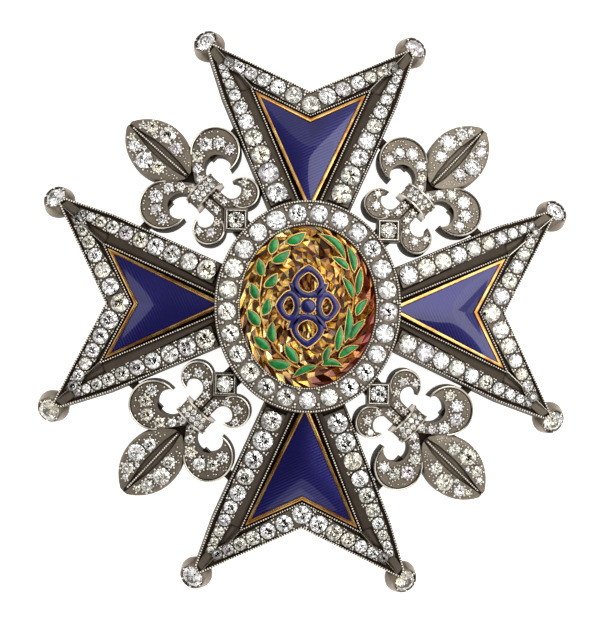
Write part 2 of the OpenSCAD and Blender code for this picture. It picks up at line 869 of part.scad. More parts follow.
// Leaves of the two sprays, from the foot up: place on the sprays' oval in
// degrees, lean from the stem's direction in degrees, length as a share of the
// oval's half width
laurel_table = [
    [247, 34, 0.48], [256, -44, 0.56], [219, 43, 0.47], [218, -22, 0.50],
    [198, 39, 0.50], [187, -19, 0.38], [177, 47, 0.48], [165, -25, 0.40],
    [159, 38, 0.50], [139, -18, 0.43], [137, 45, 0.49], [122, 7, 0.57]
];
palm_table = [
    [-71, -23, 0.46], [-51, -19, 0.61], [-31, -16, 0.65], [-10, -27, 0.57],
    [8, -15, 0.80], [27, -10, 0.78], [-72, 40, 0.52], [-52, 31, 0.70],
    [-29, 15, 0.72], [2, 22, 0.62], [16, 1, 0.62], [36, 20, 0.46], [46, 8, 0.72]
];
laurel_leaf_width = spray_half_width * 0.166;
palm_leaf_width = spray_half_width * 0.107;
laurel_stem = spray_half_width * 0.046;
palm_stem = spray_half_width * 0.052;
palm_foot = spray_half_width * [0.31, 0.18];
laurel_start = 261;
laurel_end = 122;
module laurel_flat() {
    spray_stem(laurel_end, laurel_start, laurel_stem);
    for (p = laurel_table)
        leaf(p[0], -1, p[1], p[2] * spray_half_width, laurel_leaf_width);
}

// The palm's stem crosses under the laurel's foot and ends beyond it
palm_start = -92;
palm_end = 46;
module palm_flat() {
    spray_stem(palm_start, palm_end, palm_stem);
    foot = spray_point(palm_start);
    inner = foot * (1 - palm_stem / spray_half_width);
    polygon([foot, inner, inner - palm_foot, foot - palm_foot]);
    for (p = palm_table)
        leaf(p[0], 1, p[1], p[2] * spray_half_width, palm_leaf_width);
}

module laurel_spray() {
    color(green) translate([0, 0, ornament_base]) linear_extrude(ornament_thick) laurel_flat();
}

module palm_spray() {
    color(green) translate([0, 0, ornament_base]) linear_extrude(ornament_thick) palm_flat();
}

// The rosette: four open petals round a disc, with small darts between them
rosette_half_width = ground_half_width * 0.47;
rosette_half_height = ground_half_height * 0.493;
band = rosette_half_width * 0.19;
hub_radius = rosette_half_width * 0.26;
rosette_petal_width = rosette_half_width * 0.8;
dart_length = rosette_half_width * 0.93;
module open_petal(length, width) {
    foot = 1.35 * band;
    end = 2.6 * band;
    side = leaf_side(length - end, width - 2 * band);
    difference() {
        polygon(leaf_points(length, width));
        translate([0, foot]) polygon(concat([[0, 0]], side, [[0, length - end]], flipped(side)));
    }
}

module rosette_flat() {
    circle(r = hub_radius);
    for (a = [0, 180]) rotate(a) open_petal(rosette_half_height, rosette_petal_width);
    for (a = [90, 270]) rotate(a) open_petal(rosette_half_width, rosette_petal_width);
    for (a = [40, 140, 220, 320]) rotate(a) polygon(leaf_points(dart_length, band));
}

module centre_rosette() {
    color(blue) translate([0, 0, ornament_base]) linear_extrude(ornament_thick) rosette_flat();
}

module back_plate() {
    color(silver)
        translate([0, 0, plate_top - plate_thick])
            linear_extrude(plate_thick)
                polygon(oval(ring_half_width - plate_inset, ring_half_height - plate_inset));
}

// The brooch pin: a stem between two blocks that are fixed to the backs of the
// upright arms
block_length = 3;
module pin_block() {
    y = pin_length / 2;
    back = arm_lift - (y + block_length / 2) * tan(arm_slope) - seat_gap;
    translate([-block_width / 2, y - block_length / 2, pin_height - pin_diameter / 2])
        cube([block_width, block_length, back - pin_height + pin_diameter / 2]);
}

module brooch_pin() {
    color(steel) {
        translate([0, -pin_length / 2, pin_height])
            rotate([-90, 0, 0])
                cylinder(d = pin_diameter, h = pin_length);
        pin_block();
        mirror([0, 1, 0]) pin_block();
    }
}

arm_body(0);  // arm_top
arm_body(1);  // arm_right
arm_body(2);  // arm_bottom
arm_body(3);  // arm_left
arm_stones(0);  // arm_stones_top
arm_stones(1);  // arm_stones_right
arm_stones(2);  // arm_stones_bottom
arm_stones(3);  // arm_stones_left
panel_frame(0);  // panel_frame_top
panel_frame(1);  // panel_frame_right
panel_frame(2);  // panel_frame_bottom
panel_frame(3);  // panel_frame_left
panel_enamel(0);  // panel_enamel_top
panel_enamel(1);  // panel_enamel_right
panel_enamel(2);  // panel_enamel_bottom
panel_enamel(3);  // panel_enamel_left
fleur_body(0);  // fleur_ne
fleur_body(1);  // fleur_nw
fleur_body(2);  // fleur_sw
fleur_body(3);  // fleur_se
fleur_stones(0);  // fleur_stones_ne
fleur_stones(1);  // fleur_stones_nw
fleur_stones(2);  // fleur_stones_sw
fleur_stones(3);  // fleur_stones_se
square_stone_body(0);  // square_stone_ne
square_stone_body(1);  // square_stone_nw
square_stone_body(2);  // square_stone_sw
square_stone_body(3);  // square_stone_se
tip_stone(1);  // tip_stone_1
tip_stone(2);  // tip_stone_2
tip_stone(3);  // tip_stone_3
tip_stone(4);  // tip_stone_4
tip_stone(5);  // tip_stone_5
tip_stone(6);  // tip_stone_6
tip_stone(7);  // tip_stone_7
tip_stone(8);  // tip_stone_8
medallion_ring();
ring_stones();
medallion_ground();
laurel_spray();
palm_spray();
centre_rosette();
back_plate();
brooch_pin();
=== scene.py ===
# %% [markdown]
# # A diamond-set breast star
# The star is a silver cross of four forked arms round an oval medallion, with a
# fleur-de-lis between each two arms. The silver is sawn, pierced and soldered, the
# stones are set from the front, and the enamel lies on engraved gold plates that are
# put in last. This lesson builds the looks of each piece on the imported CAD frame.
# All sizes are in millimetres until a mesh is made.

# %% The frame
import itertools
import math
from functools import partial

import bmesh
import bpy
import numpy as np
from mathutils import Matrix, Vector
from mathutils.geometry import delaunay_2d_cdt


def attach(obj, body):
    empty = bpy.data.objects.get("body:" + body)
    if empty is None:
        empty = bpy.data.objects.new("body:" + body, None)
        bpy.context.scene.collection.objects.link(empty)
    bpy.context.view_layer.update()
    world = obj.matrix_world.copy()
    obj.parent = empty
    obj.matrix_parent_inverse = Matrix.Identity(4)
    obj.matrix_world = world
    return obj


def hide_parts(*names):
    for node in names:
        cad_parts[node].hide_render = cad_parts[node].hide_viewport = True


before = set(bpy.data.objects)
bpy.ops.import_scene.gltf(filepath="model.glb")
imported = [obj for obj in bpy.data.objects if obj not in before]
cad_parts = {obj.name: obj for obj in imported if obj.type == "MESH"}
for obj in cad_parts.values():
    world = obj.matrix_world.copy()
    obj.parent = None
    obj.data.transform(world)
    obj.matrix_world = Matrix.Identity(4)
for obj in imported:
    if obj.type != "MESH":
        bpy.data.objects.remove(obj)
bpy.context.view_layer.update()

# %% [markdown]
# ## Small tools
# A **shell** gathers closed solids: vertices, faces and one number for each vertex,
# which darkens the metal. It is 0 on the open, polished parts and up to 1 in the pits,
# under other parts and at the cups' feet: painted shade, together with the dark old silver
# sulphide that a real star has in its pits. The materials of silver and gold read that number.

# %% Shells
class Shell:
    def __init__(self):
        self.v, self.f, self.recess, self.n = [], [], [], 0

    def add(self, verts, faces, recess=0.0):
        verts = np.asarray(verts, float).reshape(-1, 3)
        self.f += [[i + self.n for i in face] for face in faces]
        self.v.append(verts)
        self.recess.append(np.broadcast_to(np.asarray(recess, float), (len(verts),)))
        self.n += len(verts)


# %% [markdown]
# A **loop** is a flat outline, listed corner by corner. These helpers move one inward,
# draw a round one, lift one to its height and tell what lies inside it.

# %% Loops
def offset_loop(loop, d):
    """Moves a closed 2-D loop to its left by d, or each corner by its own d."""
    p = np.asarray(loop, float)
    back, ahead = p - np.roll(p, 1, 0), np.roll(p, -1, 0) - p
    n1 = np.stack([-back[:, 1], back[:, 0]], 1) / np.linalg.norm(back, axis=1, keepdims=True)
    n2 = np.stack([-ahead[:, 1], ahead[:, 0]], 1) / np.linalg.norm(ahead, axis=1, keepdims=True)
    spread = np.maximum(1 + (n1 * n2).sum(1, keepdims=True), 0.3)
    return p + np.broadcast_to(d, len(p))[:, None] * (n1 + n2) / spread


def circle(at, radius, count=20, hole=True, turn=0.0):
    a = np.linspace(0, 2 * math.pi, count, endpoint=False) * (-1 if hole else 1) + turn
    return np.stack([at[0] + radius * np.cos(a), at[1] + radius * np.sin(a)], 1)


def seats(stones, less, count):
    """Bores a little smaller than the stones of a row."""
    return [circle(stone[0], stone[1] / 2 - less, count) for stone in stones]


def flipped(points):
    return [[-x, y] for x, y in points][::-1]


def lifted(loop, z):
    """A flat loop at one height, or with a height for each corner."""
    return np.column_stack([np.asarray(loop, float), np.broadcast_to(z, len(loop))])


def area(loop):
    """Signed area of a flat loop; positive when it runs anticlockwise."""
    x, y = np.asarray(loop, float)[:, :2].T
    return (x * np.roll(y, -1) - np.roll(x, -1) * y).sum() / 2


def within(loops, points):
    """Which points lie inside the first loop and outside the others."""
    q, hits = np.asarray(points, float)[:, None, :], 0
    for loop in loops:
        a = np.asarray(loop, float)
        b = np.roll(a, -1, 0)
        cross = (a[:, 1] > q[..., 1]) != (b[:, 1] > q[..., 1])
        rise = np.where(b[:, 1] == a[:, 1], 1, b[:, 1] - a[:, 1])
        at = (b[:, 0] - a[:, 0]) * (q[..., 1] - a[:, 1]) / rise + a[:, 0]
        hits = hits + (cross & (q[..., 0] < at)).sum(1)
    return hits % 2 == 1


def clear_of(loop, q):
    """Distance of a point inside a loop from its edge; negative outside."""
    a = np.asarray(loop, float)
    b = np.roll(a, -1, 0)
    t = np.clip(((q - a) * (b - a)).sum(1) / ((b - a) ** 2).sum(1), 0, 1)[:, None]
    near = np.linalg.norm(a + t * (b - a) - q, axis=1).min()
    return near if within([loop], [q])[0] else -near


# %% [markdown]
# A plate's face is filled by a Delaunay triangulation that keeps every edge, whatever
# holes it has. Seats that would cut an edge, or each other, are drawn in first, as a
# setter leaves a little metal between two stones.

# %% Faces with holes
def fitted(loops):
    """Draws in the round bores of a level where they would cut an edge or each other."""
    wall, roundness, corners = 0.02, 1.05, 8
    middles = [np.asarray(loop).mean(0) for loop in loops]
    spans = [np.linalg.norm(loop - at, axis=1) for loop, at in zip(loops, middles)]
    bores = [k for k in range(1, len(loops))
             if len(loops[k]) > corners and spans[k].max() < roundness * spans[k].min()]
    edges = [loops[k] for k in range(len(loops)) if k not in bores]
    r = {k: min([spans[k].max()] + [abs(clear_of(edge, middles[k])) - wall for edge in edges])
         for k in bores}
    for i, j in itertools.combinations(bores, 2):
        over = r[i] + r[j] + wall - np.linalg.norm(middles[i] - middles[j])
        if over > 0:
            r[i], r[j] = r[i] - over / 2, r[j] - over / 2
    return [middles[k] + (loop - middles[k]) * r[k] / spans[k].max() if k in bores else loop
            for k, loop in enumerate(loops)]


def flat_cap(loops):
    """Faces that fill the first loop less the others, facing up."""
    flat, edges, base = np.concatenate(loops), [], 0
    for loop in loops:
        n = len(loop)
        edges += [(base + i, base + (i + 1) % n) for i in range(n)]
        base += n
    _, _, faces, source, _, _ = delaunay_2d_cdt([Vector(p) for p in flat], edges, [], 0, 1e-7)
    if len(source) != len(flat) or any(len(s) != 1 for s in source):
        if len(loops) > 1:
            print("loops that cross:", len(loops), "near", flat[0])
        # A leaf that crosses itself at its sharp tip is closed as a strip between its two sides
        n, tip = len(flat), len(flat) // 2
        strip = [[i, i + 1, n - i - 1, n - i] for i in range(1, tip - 1)]
        return [[0, 1, n - 1]] + strip + [[tip - 1, tip, tip + 1]]
    tris = np.array([[source[i][0] for i in face] for face in faces])
    tris = tris[within(loops, flat[tris].mean(1))]
    return [[a, b, c] if area(flat[[a, b, c]]) > 0 else [a, c, b] for a, b, c in tris.tolist()]


# %% [markdown]
# From loops come the shapes that the whole star is built of: plates with a stepped
# profile, blocks, turned parts and wires.

# %% Plates, blocks, turned parts and wires
def slab(shell, loops, profile):
    """A plate with holes. loops: the outline anticlockwise, then holes clockwise.
    profile: (inset, height, a number that darkens the level as painted shade and oxide)
    from the top face down to the bottom one. An inset can be a pair, the outline's and the holes'."""
    starts = np.cumsum([0] + [len(loop) for loop in loops]).tolist()
    total = starts[-1]
    verts, recess, levels = [], [], []
    for inset, z, depth in profile:
        edge, bore = inset if isinstance(inset, tuple) else (inset, inset)
        levels.append(fitted([offset_loop(loop, bore if k else edge) for k, loop in enumerate(loops)]))
        verts.append(lifted(np.concatenate(levels[-1]), z))
        recess += [depth] * total
    last = (len(profile) - 1) * total
    faces = flat_cap(levels[0]) + [[last + i for i in face[::-1]] for face in flat_cap(levels[-1])]
    for base in range(0, last, total):
        for start, loop in zip(starts, loops):
            for i in range(len(loop)):
                a, b = base + start + i, base + start + (i + 1) % len(loop)
                faces.append([a, a + total, b + total, b])
    shell.add(np.concatenate(verts), faces, recess)


def block(shell, low, high, recess=0.0):
    """A solid between two 3-D loops of the same length, one above the other."""
    n = len(low)
    if area(low) < 0:
        low, high = low[::-1], high[::-1]
    faces = [list(range(n))[::-1], list(range(n, 2 * n))]
    faces += [[i, (i + 1) % n, n + (i + 1) % n, n + i] for i in range(n)]
    shell.add(np.concatenate([low, high]), faces, recess)


def prism(shell, loop, low, high, recess):
    """A solid with upright sides."""
    block(shell, lifted(loop, low), lifted(loop, high), recess)


def both_sides(target, half):
    """Adds the right half of a piece, and the same mirrored."""
    points, shades = np.concatenate(half.v), np.concatenate(half.recess)
    target.add(points, half.f, shades)
    target.add(points * [-1, 1, 1], [face[::-1] for face in half.f], shades)


def lathe(profile, count):
    """Turns (radius, height) points, from the axis at the bottom to the axis at the top."""
    a = np.linspace(0, 2 * math.pi, count, endpoint=False)
    verts, faces = [[0, 0, profile[0][1]]], []
    for r, z in profile[1:-1]:
        verts += [[r * math.cos(t), r * math.sin(t), z] for t in a]
    last, top = len(verts), len(verts) - count
    verts.append([0, 0, profile[-1][1]])
    for i in range(count):
        j = (i + 1) % count
        faces += [[0, 1 + j, 1 + i], [last, top + i, top + j]]
        faces += [[b + i, b + j, b + count + j, b + count + i] for b in range(1, top, count)]
    return verts, faces


def tube(shell, path, radius, count=6, recess=0.0):
    """A round wire along a 3-D path."""
    path = np.asarray(path, float)
    ahead = np.gradient(path, axis=0)
    ahead /= np.linalg.norm(ahead, axis=1, keepdims=True)
    side = np.cross(ahead, [0, 0, 1.0])
    side /= np.linalg.norm(side, axis=1, keepdims=True)
    up = np.cross(side, ahead)
    radius = np.broadcast_to(radius, len(path))
    a = np.linspace(0, 2 * math.pi, count, endpoint=False)
    verts = [path[i] + radius[i] * (math.cos(t) * side[i] + math.sin(t) * up[i])
             for i in range(len(path)) for t in a]
    end = (len(path) - 1) * count
    faces = [[b + k, b + count + k, b + count + (k + 1) % count, b + (k + 1) % count]
             for b in range(0, end, count) for k in range(count)]
    shell.add(verts, faces + [list(range(count)), list(range(end, end + count))[::-1]], recess)


# %% [markdown]
# Every piece ends as one plain mesh in the frame, in metres. `place` is the matrix
# that lays a local drawing, such as one arm, at its real spot.

# %% Meshes in the frame
PIECES, MM = [], 0.001


def moved(points, place):
    points = np.asarray(points, float).reshape(-1, 3)
    if place is None:
        return points
    m = np.array(place)
    return points @ m[:3, :3].T + m[:3, 3]


def laid(place, x, y, z):
    """Where one point of a local drawing lies in the frame."""
    return moved([[x, y, z]], place)[0]


def mesh_of(name, verts, edges=(), faces=()):
    """A mesh from points in millimetres."""
    mesh = bpy.data.meshes.new(name)
    mesh.from_pydata((np.asarray(verts, float) * MM).tolist(), edges, faces)
    return mesh


def give(mesh, label, kind, values, domain="POINT"):
    """Stores a value for each point or face, which a material or a node tree reads."""
    field = "vector" if kind == "FLOAT_VECTOR" else "value"
    values = np.asarray(values, np.int32 if kind == "INT" else np.float32)
    mesh.attributes.new(label, kind, domain).data.foreach_set(field, values.ravel())


def stand(name, data):
    """Puts an object in the scene."""
    thing = bpy.data.objects.new(name, data)
    bpy.context.scene.collection.objects.link(thing)
    return thing


def keep(name, mesh, replaces, slot):
    """Lists a finished piece with the CAD nodes that it stands for and its slot."""
    piece = stand(name, mesh)
    PIECES.append((piece, list(replaces), slot))
    return piece


def plain(thing):
    """The mesh of an object with its modifiers applied."""
    ready = thing.evaluated_get(bpy.context.evaluated_depsgraph_get())
    made = bpy.data.meshes.new_from_object(ready)
    thing.modifiers.clear()
    bpy.data.objects.remove(thing)
    return made


def finish_mesh(mesh, material, sharp):
    mesh.shade_smooth()
    mesh.set_sharp_from_angle(angle=math.radians(sharp))
    mesh.materials.clear()
    mesh.materials.append(material)


def make(name, shell, material, place=None, replaces=(), slot="silver", sharp=32):
    mesh = mesh_of(name, moved(np.concatenate(shell.v), place), (), shell.f)
    give(mesh, "recess", "FLOAT", np.concatenate(shell.recess))
    finish_mesh(mesh, material, sharp)
    return keep(name, mesh, replaces, slot)


def turn_z(degrees):
    return Matrix.Rotation(math.radians(degrees), 4, "Z")


def turn_x(degrees):
    return Matrix.Rotation(math.radians(degrees), 4, "X")


def shift(x, y, z):
    return Matrix.Translation((x, y, z))

# %% [markdown]
# ## Materials
# One helper adds a node with its settings and links. Colours are written as sRGB hex
# numbers, as a painter would pick them, and turned linear by one function. A material
# starts with the cloudy noises that it needs, in the object's own coordinates. Their
# scale is given in waves a millimetre.

# %% Shader helpers
MATH, MIX, RAMP = "ShaderNodeMath", "ShaderNodeMix", "ShaderNodeValToRGB"
BUMP, ATTRIBUTE = "ShaderNodeBump", "ShaderNodeAttribute"
SURFACE, OUTPUT = "ShaderNodeBsdfPrincipled", "ShaderNodeOutputMaterial"


def linear(hex_colour):
    c = [int(hex_colour[i:i + 2], 16) / 255 for i in (0, 2, 4)]
    return [x / 12.92 if x <= 0.04045 else ((x + 0.055) / 1.055) ** 2.4 for x in c] + [1.0]


def node(tree, kind, inputs=(), stops=(), **settings):
    """Adds a node. inputs: {socket: value, node or (node, output)}; stops: a ramp's colours."""
    made = tree.nodes.new(kind)
    for key, value in settings.items():
        setattr(made, key, value)
    for key, value in dict(inputs).items():
        source = value if isinstance(value, tuple) else (value, 0)
        if isinstance(source[0], bpy.types.Node):
            tree.links.new(source[0].outputs[source[1]], made.inputs[key])
        else:
            made.inputs[key].default_value = value
    if stops:
        elements = made.color_ramp.elements
        while len(elements) < len(stops):
            elements.new(0.5)
        for element, (at, colour) in zip(elements, stops):
            element.position, element.color = at, linear(colour)
    return made


def new_material(name, *patterns):
    """A material, its adder, and a noise for each (waves a millimetre, detail, roughness)."""
    material = bpy.data.materials.new(name)
    material.use_nodes = True
    material.node_tree.nodes.clear()
    add = partial(node, material.node_tree)
    where = add("ShaderNodeTexCoord") if patterns else None
    noises = [add("ShaderNodeTexNoise", {
        "Vector": (where, "Object"), "Scale": per_mm / MM, "Detail": detail, "Roughness": rough})
        for per_mm, detail, rough in patterns]
    return material, add, *noises


# %% [markdown]
# ** Oxidised silver.** Old silver goes brown-black where no cloth reaches. Two things
# darken it here, as that oxide and as painted shade in hollows and under parts: the number
# of each vertex, and how closed-in the place is.
# Cloudy noise breaks up the tone, and fine noise in the roughness is the wear of
# years. The eye gets bright edges on a dark, warm-grey ground.

# %% Oxidised silver
def oxidised_silver(name, clean, dull, rough, reach):
    """reach is how far, in millimetres, nearby walls darken the colour: painted shade, and oxide where a wall
    keeps the polishing cloth away.
    """
    material, add, broad, narrow, fine = new_material(
        name, (0.4, 4.0, 0.6), (2.2, 4.0, 0.65), (6.0, 2.0, 0.5))
    half = add(MATH, {0: narrow, 1: 0.5}, operation="MULTIPLY")
    clouds = add(MATH, {0: broad, 1: 0.55, 2: half}, operation="MULTIPLY_ADD")
    wear = add(MATH, {0: clouds, 1: 1.35, 2: -0.27}, operation="MULTIPLY_ADD", use_clamp=True)
    tone = add(MIX, {0: wear, 6: linear(clean), 7: linear(dull)}, data_type="RGBA")
    recess = add(ATTRIBUTE, attribute_name="recess")
    # Painted shade with oxide: the colour darkens where nearby walls close the place in.
    closed = add("ShaderNodeAmbientOcclusion", {"Distance": reach * MM}, samples=6)
    shut = add(MATH, {0: 1.0, 1: (closed, "AO")}, operation="SUBTRACT")
    depth = add(MATH, {0: shut, 1: 1.1, 2: (recess, "Fac")}, operation="MULTIPLY_ADD", use_clamp=True)
    tarnish_and_painted_shade = add(RAMP, {"Fac": depth}, [(0.12, "000000"), (0.85, "ffffff")])
    colour = add(MIX, {0: tarnish_and_painted_shade, 6: (tone, 2), 7: linear("2c231c")}, data_type="RGBA")
    worn = add(MATH, {0: fine, 1: 0.22, 2: rough - 0.1}, operation="MULTIPLY_ADD")
    roughness = add(MATH, {0: tarnish_and_painted_shade, 1: 0.25, 2: worn}, operation="MULTIPLY_ADD", use_clamp=True)
    bump = add(BUMP, {"Height": clouds, "Strength": 0.5, "Distance": 0.08 * MM})
    shader = add(SURFACE, {
        "Base Color": (colour, 2), "Metallic": 1.0, "Roughness": roughness, "Normal": bump})
    add(OUTPUT, {"Surface": shader})
    return material


silver = oxidised_silver("oxidised silver, hand polished", "afa493", "6c6255", 0.36, 0.5)
bead_silver = oxidised_silver("silver millegrain, rubbed bright", "faf5ea", "d2cabc", 0.26, 0.1)
rim_silver = oxidised_silver("silver rims, burnished", "d9d2c4", "9a9082", 0.24, 0.25)
cup_silver = oxidised_silver("silver cups, worn", "8e8375", "5c5146", 0.26, 0.9)


# %% [markdown]
# ** Gold.** The trays are rolled gold with a burnished top edge; a little copper in
# the alloy makes it warm. The vertex number paints shade, with a little tarnish, down the
# walls and on the floors of the cells. Fine noise in its roughness stands for the marks of wear.

# %% Gold
def burnished_gold():
    material, add, clouds, fine = new_material("gold, burnished", (0.5, 3.0, 0.5), (9.0, 2.0, 0.5))
    tone = add(RAMP, {"Fac": clouds}, [(0.35, "dcb26c"), (0.65, "a8703a")])
    recess = add(ATTRIBUTE, attribute_name="recess")
    # Painted shade, with a little tarnish: brown where the vertex number is high, down the walls and on cell
    # floors.
    colour = add(MIX, {0: (recess, "Fac"), 6: tone, 7: linear("4a2a10")}, data_type="RGBA")
    roughness = add(MATH, {0: fine, 1: 0.2, 2: 0.16}, operation="MULTIPLY_ADD")
    bump = add(BUMP, {"Height": fine, "Strength": 0.1, "Distance": 0.03 * MM})
    shader = add(SURFACE, {
        "Base Color": (colour, 2), "Metallic": 1.0, "Roughness": roughness, "Normal": bump})
    add(OUTPUT, {"Surface": shader})
    return material


gold = burnished_gold()


# %% [markdown]
# **Guilloche enamel.** Clear blue glass is fused over gold that a rose engine has cut
# with fine waves. The eye gets a deep blue that lightens where the metal below sends
# light back, under a smooth glass face. The waves are drawn in the panel's own UV
# map, in millimetres.

# %% Blue guilloche enamel
def guilloche_enamel():
    material, add, clouds = new_material("blue enamel over engine-turned gold", (0.12, 2.0, 0.5))
    uv = add("ShaderNodeUVMap", uv_map="millimetres")
    wave = add("ShaderNodeTexWave", {
        "Vector": uv, "Scale": 0.72, "Distortion": 0.9, "Detail": 0.0, "Detail Scale": 0.3},
        wave_type="BANDS", bands_direction="Y", wave_profile="SIN")
    base = add(RAMP, {"Fac": clouds}, [(0.3, "0f0b50"), (0.7, "161262")])
    lines = add(MATH, {0: (wave, "Fac"), 1: 0.45}, operation="MULTIPLY")
    colour = add(MIX, {0: lines, 6: base, 7: linear("0a073c")}, data_type="RGBA")
    bump = add(BUMP, {"Height": (wave, "Fac"), "Strength": 0.3, "Distance": 0.06 * MM})
    shader = add(SURFACE, {
        "Base Color": (colour, 2), "Metallic": 0.6, "Roughness": 0.3, "Normal": bump,
        "Coat Weight": 0.6, "Coat Roughness": 0.02, "Coat IOR": 1.5})
    add(OUTPUT, {"Surface": shader})
    return material


blue_enamel = guilloche_enamel()


# %% [markdown]
# **Cloisonne enamel** of the ornaments: glass between gold edges, thicker and darker
# in places, with a smooth fired face.

# %% Ornament enamels
def ornament_enamel(name, light, deep):
    material, add, clouds = new_material(name, (1.1, 3.0, 0.5))
    tone = add(RAMP, {"Fac": clouds}, [(0.35, light), (0.68, deep)])
    shader = add(SURFACE, {
        "Base Color": tone, "Metallic": 0.6, "Roughness": 0.3,
        "Coat Weight": 0.5, "Coat Roughness": 0.04, "Coat IOR": 1.5})
    add(OUTPUT, {"Surface": shader})
    return material


green_enamel = ornament_enamel("green enamel, fired", "0e8038", "054c1e")
rosette_enamel = ornament_enamel("blue enamel, fired", "12105c", "070530")


# %% [markdown]
# ** Engraved ground.** The medallion's plate is gold, cut with a many-pointed star and
# covered with clear honey-coloured enamel. Its facets are real geometry; the colour
# drifts from yellow over orange to brown-red. Each face also gets a random tone, from pale
# yellow to dark brown: painted highlight and shade, besides the enamel's uneven colour.

# %% Honey ground
def honey_ground():
    material, add, clouds, fine = new_material(
        "honey enamel over engraved gold", (1.6, 4.0, 0.65), (5.0, 3.0, 0.5))
    facet_glint_and_tone, edge = [add(ATTRIBUTE, attribute_name=label) for label in ("facet_glint_and_tone", "edge")]
    drift = add(MATH, {0: clouds, 1: 0.3}, operation="MULTIPLY")
    # Painted highlight and shade: each face's random tone runs from pale yellow to dark brown, besides the
    # enamel's own uneven colour.
    shade = add(MATH, {0: (facet_glint_and_tone, "Fac"), 1: 0.8, 2: drift}, operation="MULTIPLY_ADD", use_clamp=True)
    tone = add(RAMP, {"Fac": shade}, [(0.14, "fff2a6"), (0.22, "e6b040"), (0.34, "925c18"), (0.52, "3e200a")])
    reach = add(MATH, {0: (edge, "Fac"), 1: 1.6}, operation="MULTIPLY", use_clamp=True)
    red = add(MIX, {0: reach, 6: tone, 7: linear("7c1c0c")}, data_type="RGBA")
    bump = add(BUMP, {"Height": fine, "Strength": 0.35, "Distance": 0.08 * MM})
    shader = add(SURFACE, {
        "Base Color": (red, 2), "Metallic": 0.9, "Roughness": 0.2, "Normal": bump,
        "Coat Weight": 0.6, "Coat Roughness": 0.06, "Coat IOR": 1.52})
    add(OUTPUT, {"Surface": shader})
    return material


ground_enamel = honey_ground()


# %% [markdown]
# **Diamond.** Old mine-cut stones are clear, with a faint body tint that differs from
# stone to stone. The real refractive index and real facets give the sparkle.

# %% Diamond
def diamond_material():
    material, add = new_material("diamond, old cut")
    tint = add(ATTRIBUTE, attribute_name="tone")
    colour = add(RAMP, {"Fac": (tint, "Fac")}, [
        (0.0, "f4f3f0"), (0.4, "e4e2de"), (0.6, "e4dac0"), (0.8, "cccabc"), (1.0, "cbbfc4")])
    shader = add(SURFACE, {
        "Base Color": colour, "Roughness": 0.0, "IOR": 2.42, "Transmission Weight": 1.0})
    add(OUTPUT, {"Surface": shader})
    return material


diamond = diamond_material()
print("materials:", len(bpy.data.materials))

# %% [markdown]
# ## The lie of the arms
# All four arms slope down from the middle. A local drawing has y outward along the
# arm, x across it and z up from its back.

# %% Arm sizes
SLOPE, THICK, HEIGHT = 10.0, 2.4, 2.6
UPRIGHT_REACH, LEVEL_REACH, UPRIGHT_NOTCH, LEVEL_NOTCH = 37.2, 34.9, 30.5, 27.8
RING_W, RING_H, RING_BAND, RING_THICK = 12.8, 14.6, 3.45, 2.4
ROOT_HALF, SHOULDER_HALF, SHOULDER_BACK = 6.25, 12.3, 8.0
POINT_HALF, BLUNT = 14.0, 1.1
SIDE_BAND, NOTCH_BAND = 4.4, 3.35
LIFT = HEIGHT + UPRIGHT_REACH * math.sin(math.radians(SLOPE))
COS, TAN = math.cos(math.radians(SLOPE)), math.tan(math.radians(SLOPE))
RING_BASE = LIFT + THICK / COS - RING_H * TAN - 0.55
RING_TOP = RING_BASE + RING_THICK
ARMS = [("top", 0, True), ("right", -90, False), ("bottom", 180, True), ("left", 90, False)]
print("top of the ring:", round(RING_TOP, 2), "mm")


def lay_arm(turn):
    return turn_z(turn) @ shift(0, 0, LIFT) @ turn_x(-SLOPE)


class Arm:
    """The lines of an upright or a level arm."""
    def __init__(self, upright):
        self.reach = UPRIGHT_REACH if upright else LEVEL_REACH
        self.notch = UPRIGHT_NOTCH if upright else LEVEL_NOTCH
        self.ring = (RING_H if upright else RING_W) / COS
        self.upright = upright
        self.lean = (SHOULDER_HALF - ROOT_HALF) / (self.reach - SHOULDER_BACK - self.ring)
        self.rise = (self.reach - self.notch) / POINT_HALF
        self.apex = self.notch - NOTCH_BAND * math.hypot(1, self.rise)
        x = self.side(self.apex, SIDE_BAND) / (1 - self.lean * self.rise)
        self.corner = np.array([x, self.apex + self.rise * x])
        self.tip = np.array([POINT_HALF + BLUNT / 2, self.reach - BLUNT])
        self.foot = np.array([self.side(self.ring * 0.86, SIDE_BAND), self.ring * 0.86])

    def side(self, y, inset=0.0):
        return ROOT_HALF + self.lean * (y - self.ring) - inset * math.hypot(1, self.lean)

    def outline(self, start):
        half = [[self.side(start), start], [SHOULDER_HALF, self.reach - SHOULDER_BACK],
                list(self.tip), [POINT_HALF, self.reach]]
        return np.array(half + [[0, self.notch]] + flipped(half))

    def window(self, grow=0.0):
        half = [[max(0.25, self.foot[0]), self.foot[1]], list(self.corner)]
        loop = np.array(half + [[0, self.apex]] + flipped(half))
        return offset_loop(loop, -grow)


# %% [markdown]
# ## Rows of stones
# A row lists each stone as place, diameter and direction of the row there. The side
# rows run from the ring to the point in ten graded stones; the notch rows have one
# stone in the middle and six on each side. The measured steps of the real rows are
# not even, so the sizes are listed.

# %% Stone rows of an arm
UPRIGHT_SIZES = [2.85, 2.75, 2.6, 2.4, 2.2, 1.95, 1.7, 1.45, 1.2, 1.0]
LEVEL_SIZES = [2.7, 2.5, 2.35, 2.3, 2.15, 2.0, 1.8, 1.55, 1.3, 1.05]
NOTCH_SIZES = [2.45, 2.25, 2.0, 1.8, 1.6, 1.4]
MIDDLE_SIZE = 2.6


def unit(v):
    return v / np.linalg.norm(v)


